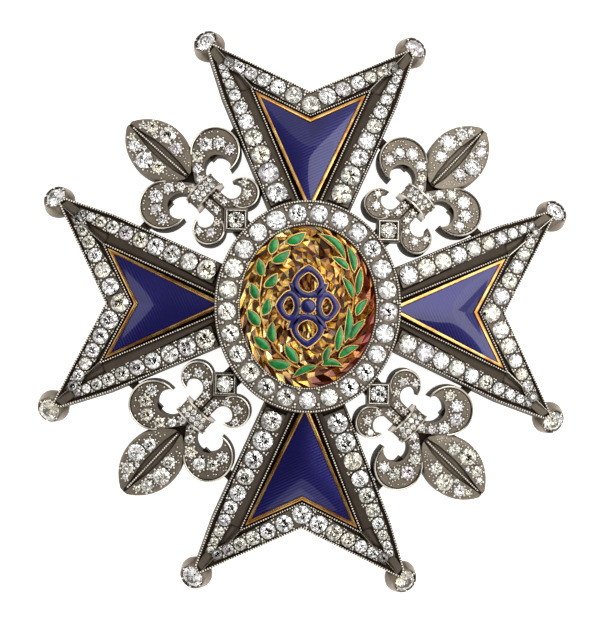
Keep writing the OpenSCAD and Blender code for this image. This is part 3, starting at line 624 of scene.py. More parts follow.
def row(start, end, sizes, first):
    """Stones on a line; the space left over is shared out between them."""
    room = np.linalg.norm(end - start) - first
    gap = (room - sum(sizes)) / (len(sizes) - 1)
    at, out = first, []
    for d in sizes:
        out.append((start + unit(end - start) * (at + d / 2), d, unit(end - start)))
        at += d + gap
    return out


def side_row(arm):
    start = np.array([arm.side(arm.ring) - (2.3 if arm.upright else 2.0), arm.ring - 0.5])
    end = arm.tip + unit(np.array([-POINT_HALF, arm.ring - arm.reach])) * 2.3 - [0.72, 0]
    return row(start, end, UPRIGHT_SIZES if arm.upright else LEVEL_SIZES, 0.0)


def notch_row(arm):
    start = np.array([0, (arm.notch + arm.apex) / 2])
    end = np.array([POINT_HALF, arm.reach]) + unit(np.array([-1, -arm.rise])) * 2.1
    end[1] -= 1.62
    return row(start, end, NOTCH_SIZES, MIDDLE_SIZE / 2 + 0.12)


def arm_rows(arm):
    """(right side, right notch), then the same mirrored, and the middle stone."""
    halves = [side_row(arm), notch_row(arm)]
    mirrored = [[(p * [-1, 1], d, t * [-1, 1]) for p, d, t in r] for r in halves]
    middle = (np.array([0, (arm.notch + arm.apex) / 2 - 0.1]), MIDDLE_SIZE, np.array([1.0, 0]))
    return halves + mirrored, middle


def ridge_loop(stones, margin):
    """An anticlockwise strip round a row, as wide as its stones."""
    left, right = [], []
    for p, d, t in stones:
        side = np.array([-t[1], t[0]])
        left.append(p + side * (d / 2 + margin))
        right.append(p - side * (d / 2 + margin))
    p, d, t = stones[0]
    q, e, u = stones[-1]
    tail, nose = -t * (d / 2 + margin), u * (e / 2 + margin)
    loop = [right[0] + tail] + right + [right[-1] + nose, left[-1] + nose]
    loop += left[::-1] + [left[0] + tail]
    return np.array(loop if area(loop) > 0 else loop[::-1])


def grain_spots(stones):
    """Grains stand in the corners between two neighbouring stones, three on each side."""
    out = []
    for (p, d, t), (q, e, u) in zip(stones, stones[1:]):
        mid = (p * e + q * d) / (d + e)
        side = np.array([-t[1], t[0]])
        r = (d + e) / 4
        for s in (-1, 1):
            for out_by, along, least, share in ((0.66, 0, 0.13, 0.06), (0.98, 0.08, 0.1, 0.05),
                                                (1.04, -0.22, 0.08, 0.04)):
                out.append((mid + side * s * r * out_by + t * along, least + share * r))
    return out


print("stones an arm:", 1 + 2 * (len(UPRIGHT_SIZES) + len(NOTCH_SIZES)))


# %% [markdown]
# ## Cut stones
# An old-cut stone: a small table, eight star facets, eight kites and sixteen girdle
# facets on the crown; lower girdle facets, mains and a flat culet below. Six shapes
# differ a little in outline, table and height, as hand-cut stones do.

# %% Old-cut shapes
def old_cut(seed, square=0.0, sides=8):
    rng = np.random.default_rng(seed)
    table, crown, deep, culet = 0.44 + 0.1 * rng.random(), 0.13 + 0.03 * rng.random(), 0.42, 0.1
    star, low = 0.76, 0.62
    half = math.cos(math.pi / sides)
    star_z = crown * (1 - star * half) / (1 - table)
    low_z = -deep * (1 - low * half) / (1 - culet)

    def ring(radius, z, count, phase):
        a = np.linspace(0, 2 * math.pi, count, endpoint=False) + phase
        r = radius * (1 + square * 0.16 * (1 - np.cos(4 * (a + math.pi / 4))) / 2
                      + square * 0.05)
        return np.stack([r * np.cos(a), r * np.sin(a), np.full(count, z)], 1)

    step = math.pi / sides
    t, s = ring(table, crown, sides, 0), ring(star, star_z, sides, step)
    g = ring(1.0, 0.0, 2 * sides, 0)
    m, c = ring(low, low_z, sides, step), ring(culet, -deep, sides, 0)
    sway = rng.normal(0, 0.02, 2)
    t[:, :2] += sway
    c[:, :2] -= sway
    verts = np.concatenate([t, s, g, m, c]) * [0.5, 0.5, 1.0]
    T, S, G, M, C = 0, sides, 2 * sides, 4 * sides, 5 * sides
    n = sides
    faces = [list(range(n)), [C + i for i in range(n)][::-1]]
    for i in range(n):
        j, h = (i + 1) % n, (i - 1) % n
        faces.append([T + i, S + i, T + j])
        faces.append([T + i, S + h, G + 2 * i, S + i])
        faces.append([S + i, G + 2 * i, G + 2 * i + 1])
        faces.append([S + i, G + 2 * i + 1, G + (2 * i + 2) % (2 * n)])
        faces.append([M + i, G + 2 * i + 1, G + 2 * i])
        faces.append([M + i, G + (2 * i + 2) % (2 * n), G + 2 * i + 1])
        faces.append([C + i, M + i, G + 2 * i, M + h])
        faces.append([C + i, C + j, M + i])
    return verts, faces


def shape_objects(shapes, name):
    """Meshes that Geometry Nodes can pick from, one millimetre wide, outside the scene."""
    box = bpy.data.collections.new(name)
    for k, (verts, faces) in enumerate(shapes):
        mesh = mesh_of(f"{name} {k}", verts, (), faces)
        box.objects.link(bpy.data.objects.new(f"{name} {k}", mesh))
    return box


round_shapes = shape_objects([old_cut(k, square=0.25 * (k % 3)) for k in range(6)], "round stone")
square_shapes = shape_objects([old_cut(20, square=1.0)], "square stone")


# %% [markdown]
# ## Geometry Nodes for what repeats
# Two small trees do the repeating work. **set stones** puts a cut stone on every point
# of a mesh, with its size, turn and tint read from the points. **millegrain** runs
# beads at an even pitch along edges, as the knurling wheel does on the real metal.

# %% Node trees
def new_tree(name, inputs):
    tree = bpy.data.node_groups.new(name, "GeometryNodeTree")
    tree.interface.new_socket("Geometry", in_out="INPUT", socket_type="NodeSocketGeometry")
    for label, kind in inputs:
        tree.interface.new_socket(label, in_out="INPUT", socket_type="NodeSocket" + kind)
    tree.interface.new_socket("Geometry", in_out="OUTPUT", socket_type="NodeSocketGeometry")
    add = partial(node, tree)
    return tree, add, add("NodeGroupInput")


def end_tree(add, start, instances):
    real = add("GeometryNodeRealizeInstances", {"Geometry": instances})
    coated = add("GeometryNodeSetMaterial", {"Geometry": real, "Material": (start, "Material")})
    add("NodeGroupOutput", {"Geometry": coated})


def stone_tree():
    tree, add, start = new_tree("set stones", [("Shapes", "Collection"), ("Material", "Material")])
    shapes = add("GeometryNodeCollectionInfo", {
        "Collection": (start, "Shapes"), "Separate Children": True, "Reset Children": True})
    turn, shape, size = [
        (add("GeometryNodeInputNamedAttribute", {"Name": label}, data_type=kind), "Attribute")
        for label, kind in (("turn", "FLOAT_VECTOR"), ("shape", "INT"), ("size", "FLOAT_VECTOR"))]
    turned = add("FunctionNodeEulerToRotation", {"Euler": turn})
    made = add("GeometryNodeInstanceOnPoints", {
        "Points": (start, "Geometry"), "Instance": (shapes, "Instances"), "Pick Instance": True,
        "Instance Index": shape, "Rotation": turned, "Scale": size})
    end_tree(add, start, made)
    return tree


def bead_tree():
    tree, add, start = new_tree("millegrain", [
        ("Pitch", "Float"), ("Radius", "Float"), ("Unevenness", "Float"), ("Seed", "Int"),
        ("Material", "Material")])
    curve = add("GeometryNodeMeshToCurve", {"Mesh": (start, "Geometry")})
    even = add("GeometryNodeResampleCurve", {"Curve": curve, "Length": (start, "Pitch")}, mode="LENGTH")
    bead = add("GeometryNodeMeshUVSphere", {"Segments": 7, "Rings": 5, "Radius": (start, "Radius")})
    soft = add("GeometryNodeSetShadeSmooth", {"Geometry": (bead, "Mesh")})
    least = add(MATH, {0: 1.0, 1: (start, "Unevenness")}, operation="SUBTRACT")
    size = add("FunctionNodeRandomValue", {2: least, 3: 1.0, "Seed": (start, "Seed")}, data_type="FLOAT")
    made = add("GeometryNodeInstanceOnPoints", {"Points": even, "Instance": soft, "Scale": (size, 1)})
    end_tree(add, start, made)
    return tree


STONES, BEADS = stone_tree(), bead_tree()


# %% [markdown]
# A tree runs on a mesh of bare points or edges. Its result is kept as one plain mesh,
# because an export drops what is only an instance.

# %% Grown pieces
def grown(name, mesh, tree, settings, replaces=(), slot="silver"):
    """Runs a tree on a mesh and keeps the result as one plain mesh."""
    seed = stand(name + " points", mesh)
    modifier = seed.modifiers.new("grow", "NODES")
    modifier.node_group = tree
    sockets = {s.name: s.identifier for s in tree.interface.items_tree if s.in_out == "INPUT"}
    for key, value in settings.items():
        modifier[sockets[key]] = value
    seed.update_tag()
    made = plain(seed)
    made.name = name
    return keep(name, made, replaces, slot)


def set_stones(name, stones, replaces, shapes=round_shapes, seed=1):
    """stones: (place, diameter, matrix of its face)."""
    rng = np.random.default_rng(seed)
    mesh = mesh_of(name, [place for place, _, _ in stones])
    turns = []
    for _, _, face in stones:
        wobble = Matrix.Rotation(rng.normal(0, 0.05), 4, "X") @ Matrix.Rotation(rng.normal(0, 0.05), 4, "Y")
        spin = 0 if shapes is square_shapes else rng.uniform(0, 360)
        turns.append((face.to_3x3() @ (wobble @ turn_z(spin)).to_3x3()).to_euler())
    give(mesh, "size", "FLOAT_VECTOR", [[d] * 3 for _, d, _ in stones])
    give(mesh, "turn", "FLOAT_VECTOR", [list(t) for t in turns])
    give(mesh, "tone", "FLOAT", rng.random(len(stones)))
    give(mesh, "shape", "INT", rng.integers(0, 6, len(stones)))
    piece = grown(name, mesh, STONES, {"Shapes": shapes, "Material": diamond}, replaces, "diamond")
    piece.data.shade_flat()


def bead_row(name, path, pitch, radius, seed):
    """path: 3-D points; a closed path repeats its first point."""
    edges = [[i, i + 1] for i in range(len(path) - 1)]
    grown(name, mesh_of(name, path, edges), BEADS, {
        "Pitch": pitch * MM, "Radius": radius * MM, "Unevenness": 0.22, "Seed": seed,
        "Material": bead_silver})


# %% [markdown]
# ## Grains
# A grain is a curl of silver that a graver has raised and a hollow punch has rounded.
# It holds the stone's edge. Here each is a low dome on a point with its own size.

# %% Grains
GRAIN = [(0, -0.3), (0.5, 0), (0.433, 0.25), (0.25, 0.433), (0, 0.5)]
grain_shapes = shape_objects([lathe(GRAIN, 7)], "grain")


def set_grains(name, grains, seed):
    """grains: (place, radius)."""
    rng = np.random.default_rng(seed)
    mesh = mesh_of(name, [place for place, _ in grains])
    sizes = np.array([[2 * r] * 3 for _, r in grains]) * rng.uniform(0.85, 1.15, (len(grains), 1))
    give(mesh, "size", "FLOAT_VECTOR", sizes)
    give(mesh, "turn", "FLOAT_VECTOR", np.zeros((len(grains), 3)))
    give(mesh, "shape", "INT", np.zeros(len(grains)))
    grown(name, mesh, STONES, {"Shapes": grain_shapes, "Material": bead_silver}).data.shade_smooth()


# %% [markdown]
# ## An arm
# The arm is a thick plate with a window. A deck, painted dark as shade with oxide, lies
# below the stone rows, which stand up as ridges with a drilled seat for each stone. A thin
# rail with millegrain runs round the outline, and another round the window. Bevels, painted
# dark the same way, fall from the side rows to the window, and a small roof fills the fork
# behind each point.

# %% Parts of an arm
PIT, DECK, RIDGE = 1.05, 1.9, 2.2
PLATE_TOP = LIFT - (RING_H - 1.2) * TAN
MARGIN = 0.12


def build_tongue(name, inner, outer, half, turn):
    """The tongue that lies between the ring and the back plate."""
    tongue = Shell()
    loop = [[inner, -half], [outer, -half], [outer, half], [inner, half]]
    prism(tongue, loop, PLATE_TOP, RING_BASE - 0.06, 0.5)
    make(name, tongue, silver, turn_z(turn))


def notch_loop(right, middle):
    """The strip round both halves of the notch row and its middle stone."""
    upper, lower = [], []
    for line, s in ((upper, 1), (lower, -1)):
        for p, d, t in right:
            line.append(p + s * np.array([-t[1], t[0]]) * (d / 2 + MARGIN))
        _, d, t = right[-1]
        line.append(line[-1] + t * (d / 2 + MARGIN))
    top = [middle[0] + [0, middle[1] / 2 + 0.3]]
    low = [middle[0] - [0, middle[1] / 2 + MARGIN]]
    return np.array(low + lower + upper[::-1] + top + [q * [-1, 1] for q in upper + lower[::-1]])


def fork(arm, rows):
    """The right half's bevel beside the window, roof behind the point and closing plates."""
    one, web = Shell(), Shell()
    a, b, tip = arm.foot, arm.corner, np.array([POINT_HALF, arm.reach])
    out = unit(np.array([b[1] - a[1], a[0] - b[0]]))
    quad = [a + out * 0.3, a + out * 0.85, b + out * 1.75, b + out * 0.3]
    block(one, lifted(quad, DECK - 0.3), lifted(quad, [DECK + 0.04, 2.24, 2.24, DECK + 0.04]), 0.72)
    # The roof between the rows, from the window's corner to the point, with its ridge wire
    aim, long = unit(tip - b), np.linalg.norm(tip - b)
    side = np.array([-aim[1], aim[0]])
    end, peak = b + aim * long * 0.62, b + aim * 0.25
    base = [b - side * 0.62 + aim * 0.35, end, b + side * 0.62 + aim * 0.35]
    web.add(np.concatenate([lifted(base, DECK - 0.1), lifted([peak, end], [2.38, 2.2])]),
            [[0, 2, 1], [0, 1, 4, 3], [2, 3, 4, 1], [0, 3, 2]], [0.5, 0.3, 0.0, 0.0, 0.1])
    point = tip - aim * 0.5
    wire = [[*(b + aim * k), 2.4 - 0.022 * k] for k in np.linspace(0.2, long - 0.5, 6)]
    tube(web, wire, np.linspace(0.09, 0.05, 6))
    # Two small plates close the point past the last stones
    for (p, d, t), rim, k in ((rows[0][-1], arm.tip, -1), (rows[1][-1], tip, 1)):
        ends = p + t * (d / 2 + MARGIN)
        near = ends + (b + aim * np.dot(ends - b, aim) - ends) * 0.9
        quad = [near, ends - (near - ends) * 0.5, rim - aim * 0.5, point - aim * 0.2 + side * k * 0.05]
        prism(one, quad, DECK - 0.3, 2.2, 0.6)
    return one, web


# %% The four arms
def build_arm(label, turn, upright, number):
    arm, place, body, webs = Arm(upright), lay_arm(turn), Shell(), Shell()
    rows, middle = arm_rows(arm)
    flat = [s for r in rows for s in r] + [middle]
    outline, window = arm.outline(arm.ring - 2.4), arm.window()
    hole = window[::-1]
    # The solid back, the floor below the enamel, and the deck with its seats
    slab(body, [outline, hole], [(0, PIT, 1), (0, 0.15, 0.5), (0.15, 0, 0.5)])
    slab(body, [arm.window(0.1)], [(0, 0.7, 1), (0, 0, 0.5)])
    slab(body, [outline, hole] + seats(flat, 0.02, 16),
         [((0.1, 0), DECK, 0.65), (0, DECK - 0.1, 0.6), (0, PIT, 0.9)])
    # Raised rows, the two halves of the notch row meeting under the middle stone
    profile = [((0.06, -0.01), RIDGE, 0.55), ((0.02, -0.02), RIDGE - 0.05, 0.5),
               ((-0.02, -0.02), RIDGE - 0.2, 0.7), ((-0.05, -0.02), DECK - 0.05, 1)]
    notch = rows[3][::-1] + [middle] + rows[1]
    for stones, loop in ((rows[0], ridge_loop(rows[0], MARGIN)), (rows[2], ridge_loop(rows[2], MARGIN)),
                         (notch, notch_loop(rows[1], middle))):
        slab(body, [loop] + seats(stones, 0.08, 18), profile)
    # Rails that carry the millegrain
    rail = [(0.08, 2.14, 0.6), (0, 2.06, 0.35), (0, DECK - 0.05, 0.8)]
    slab(body, [outline, offset_loop(outline, 0.34)[::-1]], rail)
    slab(body, [arm.window(0.32), hole], [(0.06, 2.08, 0.65), (0, 2.0, 0.6), (0, DECK - 0.05, 0.9)])
    for target, half in zip((body, webs), fork(arm, rows)):
        both_sides(target, half)
    arm_piece = make("arm_" + label, body, silver, place, ["arm_" + label])
    make("arm_webs_" + label, webs, rim_silver, place, sharp=15)
    build_tongue("arm_tongue_" + label, arm.ring * 0.64 * COS, arm.ring * 0.86 * COS - 0.12, 3.6, turn + 90)

    # Millegrain: outer rail and window rail
    edge = lifted(offset_loop(arm.outline(arm.ring - 0.6), 0.17), 2.16)
    bead_row("arm_edge_beads_" + label, moved(edge, place), 0.36, 0.15, number)
    ring = lifted(arm.window(0.16), 2.06)
    bead_row("arm_window_beads_" + label, moved([*ring, ring[0]], place), 0.36, 0.16, number + 10)

    # Stones and grains
    face = place.to_3x3().to_4x4()
    set_stones("arm_diamonds_" + label, [(laid(place, *p, RIDGE + 0.05), d, face) for p, d, _ in flat],
               ["arm_stones_" + label], seed=number + 20)
    spots = [g for r in (rows[0], rows[2], notch) for g in grain_spots(r)]
    set_grains("arm_grains_" + label, [(laid(place, *p, RIDGE), r) for p, r in spots], number + 30)
    return arm_piece


for number, (label, turn, upright) in enumerate(ARMS):
    piece = build_arm(label, turn, upright, number)
    print(piece.name, len(piece.data.polygons), "faces")

# %% [markdown]
# ## Enamel panels
# The tray is a gold box with a burnished rim. The enamel in it is a soft cushion that
# falls off towards all its edges, so each side throws the light another way.

# %% Panels
CUSHION, SLOPING, RIM = 0.42, 4.6, 0.64


def build_panel(label, turn, upright):
    arm, place = Arm(upright), lay_arm(turn)
    tray = Shell()
    # The ring hides the inner end, so the tray stops under it
    outer = offset_loop(arm.window(), 0.14)
    outer[0, 1] = outer[-1, 1] = arm.ring - 1.0
    inner = offset_loop(outer, RIM)
    slab(tray, [outer], [(0, 1.24, 1), (0, 0.78, 0.4)])
    slab(tray, [outer, inner[::-1]], [(0.26, 2.17, 0.0), (0.12, 2.14, 0.0), (0.03, 2.04, 0.1),
                                      (0.0, 1.9, 0.4), (0, 1.2, 0.8)])
    make("panel_tray_" + label, tray, gold, place, ["panel_frame_" + label], "gold")
    # Enamel: a cushion that falls off towards its edges, on a grid across and along the arm
    foot, corner, apex = offset_loop(outer, RIM + 0.02)[:3]
    rows, cols = 48, 20
    verts, uv = [], []
    lean, rise = math.hypot(1, arm.lean), math.hypot(1, arm.rise)
    for i in range(rows + 1):
        right = foot + (corner - foot) * i / rows
        mid = np.array([0, foot[1] + (apex[1] - foot[1]) * i / rows])
        for j in range(-cols, cols + 1):
            x, y = mid + (right - mid) * abs(j) / cols
            wide_here = foot[0] + (corner[0] - foot[0]) * (y - foot[1]) / (corner[1] - foot[1])
            swell = CUSHION
            for wall in ((wide_here - x) / lean, (wide_here + x) / lean, (apex[1] + arm.rise * x - y) / rise):
                swell *= 1 - (1 - min(max(wall, 0.0) / SLOPING, 1.0)) ** 2
            x = math.copysign(x, j)
            verts.append([x, y, 1.96 + swell])
            uv.append([x, y - arm.rise * x])
    wide, n = 2 * cols + 1, len(verts)
    verts += [[x, y, 1.1] for x, y, _ in verts]
    faces = []
    for i in range(rows):
        for a in range(i * wide, i * wide + wide - 1):
            faces.append([a, a + 1, a + wide + 1, a + wide])
            faces.append([n + a, n + a + wide, n + a + wide + 1, n + a + 1])
    border = list(range(wide)) + [i * wide + wide - 1 for i in range(1, rows + 1)]
    border += [rows * wide + j for j in range(wide - 2, -1, -1)] + [i * wide for i in range(rows - 1, 0, -1)]
    faces += [[a, n + a, n + b, b] for a, b in zip(border, border[1:] + border[:1])]
    glass = Shell()
    glass.add(verts, faces)
    piece = make("panel_glass_" + label, glass, blue_enamel, place, ["panel_enamel_" + label],
                 "blue_enamel", 25)
    layer = piece.data.uv_layers.new(name="millimetres")
    index = np.zeros(len(piece.data.loops), np.int32)
    piece.data.loops.foreach_get("vertex_index", index)
    layer.data.foreach_set("uv", np.asarray(uv + uv, np.float32)[index].ravel())


for label, turn, upright in ARMS:
    build_panel(label, turn, upright)
print("panels:", len(ARMS))


# %% [markdown]
# ## Point cups
# Each point ends in a turned and polished cup that leans outward and holds one larger
# stone. The cup is soldered below the arm's blunt point.

# %% Cups
CUP_LENGTH, CUP_TILT, CUP_BEYOND, CUP_FOOT, CUP_SIDES = 3.1, math.radians(38.0), 1.2, 1.5, 44
DIAGONAL = 0.7071
CUP_Z = CUP_LENGTH * math.cos(CUP_TILT) + CUP_FOOT * math.sin(CUP_TILT) - 0.12
CUP_PROFILE = [(0, -3.1), (1.42, -3.1), (1.5, -3.03), (2.0, -2.4), (2.27, -1.8), (2.31, -1.35), (2.15, -0.75),
               (1.9, -0.2), (1.83, -0.06), (1.76, -0.01), (1.66, -0.01), (1.58, -0.06), (1.53, -0.2),
               (1.36, -0.7), (0.9, -1.3), (0, -1.45)]
# Painted shade on each ring of the cup's profile: darkest at the foot by the table, none at the rim, and dark
# inside under the stone, where it is oxide as well.
CUP_PAINTED_SHADE = [0.8, 0.8, 0.75, 0.6, 0.5, 0.4, 0.25, 0.1, 0.0, 0.0, 0.0, 0.2, 0.7, 0.9, 1.0, 1.0]


def lay_cup(turn, reach, side):
    out = CUP_BEYOND * DIAGONAL
    lay = shift(POINT_HALF + out, reach * COS + out, CUP_Z)
    lay = lay @ turn_z(-45) @ turn_x(-math.degrees(CUP_TILT))
    return turn_z(turn) @ Matrix.Diagonal((side, 1, 1, 1)) @ lay


number = 0
for label, turn, upright in ARMS:
    cups = Shell()
    for side in (1, -1):
        number += 1
        place = lay_cup(turn, Arm(upright).reach, side)
        verts, faces = lathe(CUP_PROFILE, CUP_SIDES)
        verts = moved(verts, place)
        # The lowest part of the foot is filed flat on the table
        verts[:, 2] = np.maximum(verts[:, 2], 0)
        # The painted shade of each profile ring, repeated for each of its points.
        shade = CUP_PAINTED_SHADE[:1] + [c for c in CUP_PAINTED_SHADE[1:-1] for _ in range(CUP_SIDES)] + CUP_PAINTED_SHADE[-1:]
        cups.add(verts, faces if side > 0 else [f[::-1] for f in faces], shade)
        face = (place.to_3x3() @ Matrix.Diagonal((side, 1, 1))).to_4x4()
        set_stones(f"tip_diamond_{number}", [(laid(place, 0, 0, -0.1), 2.98, face)],
                   [f"tip_stone_{number}"], seed=number + 60)
        spots = [(laid(place, *p, 0.0), 0.15) for p in circle((0, 0), 1.56, 6, hole=False)]
        set_grains(f"tip_grains_{number}", spots, number)
    make("arm_cups_" + label, cups, cup_silver)
print("cups:", number)


# %% [markdown]
# ## The medallion ring
# An oval ring with 25 stones in drilled seats. Millegrain runs along its outer and
# inner edges, as on the window rails.

# %% Ring
def oval(w, h, count=120, phase=0.0):
    a = np.linspace(0, 2 * math.pi, count, endpoint=False) + phase
    return np.stack([w * np.cos(a), h * np.sin(a)], 1)


def oval_steps(w, h, count, start):
    """Angles of points at equal steps along an oval."""
    fine = np.linspace(0, 2 * math.pi, 4001) + start
    speed = np.hypot(w * np.sin(fine), h * np.cos(fine))
    length = np.concatenate([[0], np.cumsum((speed[1:] + speed[:-1]) / 2 * np.diff(fine))])
    return np.interp(np.arange(count) * length[-1] / count, length, fine)


MID_W, MID_H = RING_W - RING_BAND / 2, RING_H - RING_BAND / 2
ring_angles = oval_steps(MID_W, MID_H, 25, math.radians(99))
ring_points = [np.array([MID_W * math.cos(a), MID_H * math.sin(a)]) for a in ring_angles]
RING_STONES = 2.56 + 0.16 * np.random.default_rng(8).uniform(-1, 1, 25)
ring = Shell()
out_loop, in_loop = oval(RING_W, RING_H), oval(RING_W - RING_BAND, RING_H - RING_BAND)[::-1]
slab(ring, [out_loop, in_loop], [(0, RING_TOP - 1.3, 1), (0, RING_BASE + 0.15, 0.5), (0.12, RING_BASE, 0.5)])
bores = [circle(p, d / 2 - 0.1, 20) for p, d in zip(ring_points, RING_STONES)]
slab(ring, [out_loop, in_loop] + bores,
     [(0, RING_TOP - 0.24, 0.42), (0, RING_TOP - 1.3, 0.9)])
for rails in ([out_loop, offset_loop(out_loop, 0.3)[::-1]], [offset_loop(in_loop, 0.28)[::-1], in_loop]):
    slab(ring, rails, [(0.05, RING_TOP - 0.14, 0.6), (0, RING_TOP - 0.2, 0.35), (0, RING_TOP - 0.4, 0.8)])
# The ledge that carries the ground
slab(ring, [oval(RING_W - RING_BAND + 0.05, RING_H - RING_BAND + 0.05),
            oval(RING_W - RING_BAND - 0.7, RING_H - RING_BAND - 0.7)[::-1]],
     [(0, RING_BASE + 0.9, 1), (0, RING_BASE, 0.7)])
make("ring", ring, silver, None, ["medallion_ring"])
for name, loop, inset, pitch, radius, seed in (("ring_edge_beads", out_loop, 0.17, 0.36, 0.16, 41),
                                               ("ring_inner_beads", in_loop, 0.15, 0.34, 0.15, 42)):
    edge = lifted(offset_loop(loop, inset), RING_TOP - 0.1)
    bead_row(name, np.array([*edge, edge[0]]), pitch, radius, seed)
stones = [(np.append(p, RING_TOP - 0.21), d, Matrix.Identity(4)) for p, d in zip(ring_points, RING_STONES)]
set_stones("ring_diamonds", stones, ["ring_stones"], seed=77)
ring_rows = [(p, d, unit(np.array([-MID_W * math.sin(a), MID_H * math.cos(a)])))
             for p, d, a in zip(ring_points, RING_STONES, ring_angles)]
spots = grain_spots(ring_rows + ring_rows[:1])
set_grains("ring_grains", [(np.append(p, RING_TOP - 0.16), r * 1.1) for p, r in spots], 78)
print("stones in the ring:", len(ring_rows))


# %% [markdown]
# ## The engraved ground
# A graver cuts rings of facets from the middle outward. Their corners lie high and low
# in turn, a little off their even places, so neighbours catch the light apart.

# %% Ground
GROUND_W, GROUND_H = RING_W - RING_BAND - 0.06, RING_H - RING_BAND - 0.06
GROUND_THICK = 0.8
GROUND_TOP = RING_BASE + 0.9 + 0.06 + GROUND_THICK
RAYS, LEVELS = 52, 13
rng = np.random.default_rng(11)
verts = [[0, 0, GROUND_TOP - 0.05]]
for k in range(1, LEVELS + 1):
    for i in range(RAYS):
        rim = k == LEVELS
        share = (k / LEVELS) ** 0.8 + (0 if rim else rng.uniform(-0.3, 0.3) / LEVELS)
        a = 2 * math.pi * (i + 0.5 * (k % 2) + (0 if rim else rng.uniform(-0.35, 0.35))) / RAYS
        high = (i + k) % 2 == 0
        deep = -0.1 if rim else (rng.uniform(-0.06, 0.0) if high else rng.uniform(-0.34, -0.2))
        verts.append([GROUND_W * share * math.cos(a), GROUND_H * share * math.sin(a), GROUND_TOP + deep])
n, top = len(verts), len(verts) - RAYS
verts += [[x, y, GROUND_TOP - GROUND_THICK] for x, y, _ in verts[top:] + verts[:1]]
faces = []
for i in range(RAYS):
    j = (i + 1) % RAYS
    faces.append([0, 1 + i, 1 + j])
    for b in range(1, top, RAYS):
        faces += [[b + i, b + RAYS + i, b + RAYS + j], [b + i, b + RAYS + j, b + j]]
for i in range(RAYS):
    j = (i + 1) % RAYS
    faces += [[top + i, n + i, n + j, top + j], [n + j, n + i, n + RAYS]]
ground = Shell()
ground.add(verts, faces)
plate = make("ground", ground, ground_enamel, None, ["medallion_ground"], "gold_ground", sharp=5)
# Each face gets a random tone, painted highlight and shade besides the enamel's uneven colour; the tones
# drift to red at the right edge
spots = np.array([np.mean([verts[i] for i in face], 0) for face in faces])
toward = np.maximum(spots[:, 0] / GROUND_W * 0.5 - spots[:, 1] / GROUND_H * 0.1, 0)
out = np.hypot(spots[:, 0] / GROUND_W, spots[:, 1] / GROUND_H)
tones = np.clip(rng.uniform(0, 1, len(faces)) ** 1.3 * 0.75 + 0.35 * toward * out ** 2, 0, 1)
give(plate.data, "facet_glint_and_tone", "FLOAT", tones, "FACE")
give(plate.data, "edge", "FLOAT", toward * out ** 3, "FACE")
print("facets:", len(faces))


# %% [markdown]
# ## Sprays and rosette
# Laurel on the left and palm on the right, each leaf a gold edge with green enamel in
# it. A leaf is listed as its foot, its tip, its width and its bend, in tenths of a
# millimetre from the medallion's middle. The middle holds a plain open rosette in blue.

# %% Leaves
LAUREL = [[-33, 86, -4, 102, 16, 1], [-53, 69, -45, 95, 15, 0], [-52, 59, -25, 77, 15, 1],
          [-64, 38, -69, 65, 15, 0], [-61, 24, -42, 45, 15, 1], [-69, 6, -79, 31, 15, 0],
          [-62, -15, -54, 11, 15, 1], [-65, -30, -84, -5, 16, 0], [-46, -53, -48, -21, 15, -1],
          [-50, -62, -75, -42, 15, 0], [-12, -79, -32, -52, 15, 0], [-20, -81, -56, -76, 16, -1]]
LAUREL_STEM = [[-9, -85], [-21, -80], [-43, -61], [-57, -36], [-64, -15], [-67, 11], [-64, 37], [-57, 59],
               [-49, 71], [-35, 86]]
PALM = [[51, 64, 10, 100, 12, 2], [63, 47, 51, 87, 12, 1], [56, 51, 30, 69, 11, 1], [67, 15, 72, 57, 12, 0],
        [62, 11, 45, 43, 11, 1], [66, -12, 83, 13, 12, -1], [51, -50, 55, 3, 12, 1],
        [58, -46, 80, -15, 12, -1],
        [41, -62, 46, -24, 12, 0], [43, -70, 72, -52, 12, -1], [23, -77, 31, -52, 11, 0],
        [19, -80, 51, -82, 11, -2], [15, -81, -20, -99, 11, 1]]
PALM_STEM = [[-4, -91], [11, -82], [31, -68], [46, -48], [56, -25], [62, 3], [63, 31], [56, 55], [41, 75],
             [14, 97]]
ORNAMENT = GROUND_TOP + 0.06


def leaf_shape(length, width, bend, count=11):
    """A leaf along +y, a little bent, as an anticlockwise loop."""
    t = np.linspace(0, 1, count)
    half = width / 2 * np.sin(math.pi * t ** 0.85) ** 0.75
    mid = bend * np.sin(math.pi * t) * length
    right = np.stack([mid + half, t * length], 1)
    left = np.stack([mid - half, t * length], 1)
    return np.concatenate([right, left[-2:0:-1]])


def turned(loop, degrees):
    c, s = math.cos(math.radians(degrees)), math.sin(math.radians(degrees))
    return np.asarray(loop) @ np.array([[c, s], [-s, c]])


def levels(*steps):
    """A profile of (inset, height above the ornament's foot)."""
    return [(inset, ORNAMENT + z, 0) for inset, z in steps]


CELL = levels((0.03, 0.3), (0, 0.26)) + [(0, ORNAMENT - 0.04, 0.6)]


def enamelled(edge, glass, loop, rim):
    """A gold cell with a domed enamel filling."""
    slab(edge, [loop], CELL)
    slab(glass, [offset_loop(loop, rim)], levels((0.16, 0.36), (0.08, 0.35), (0, 0.305), (0, 0.2)))


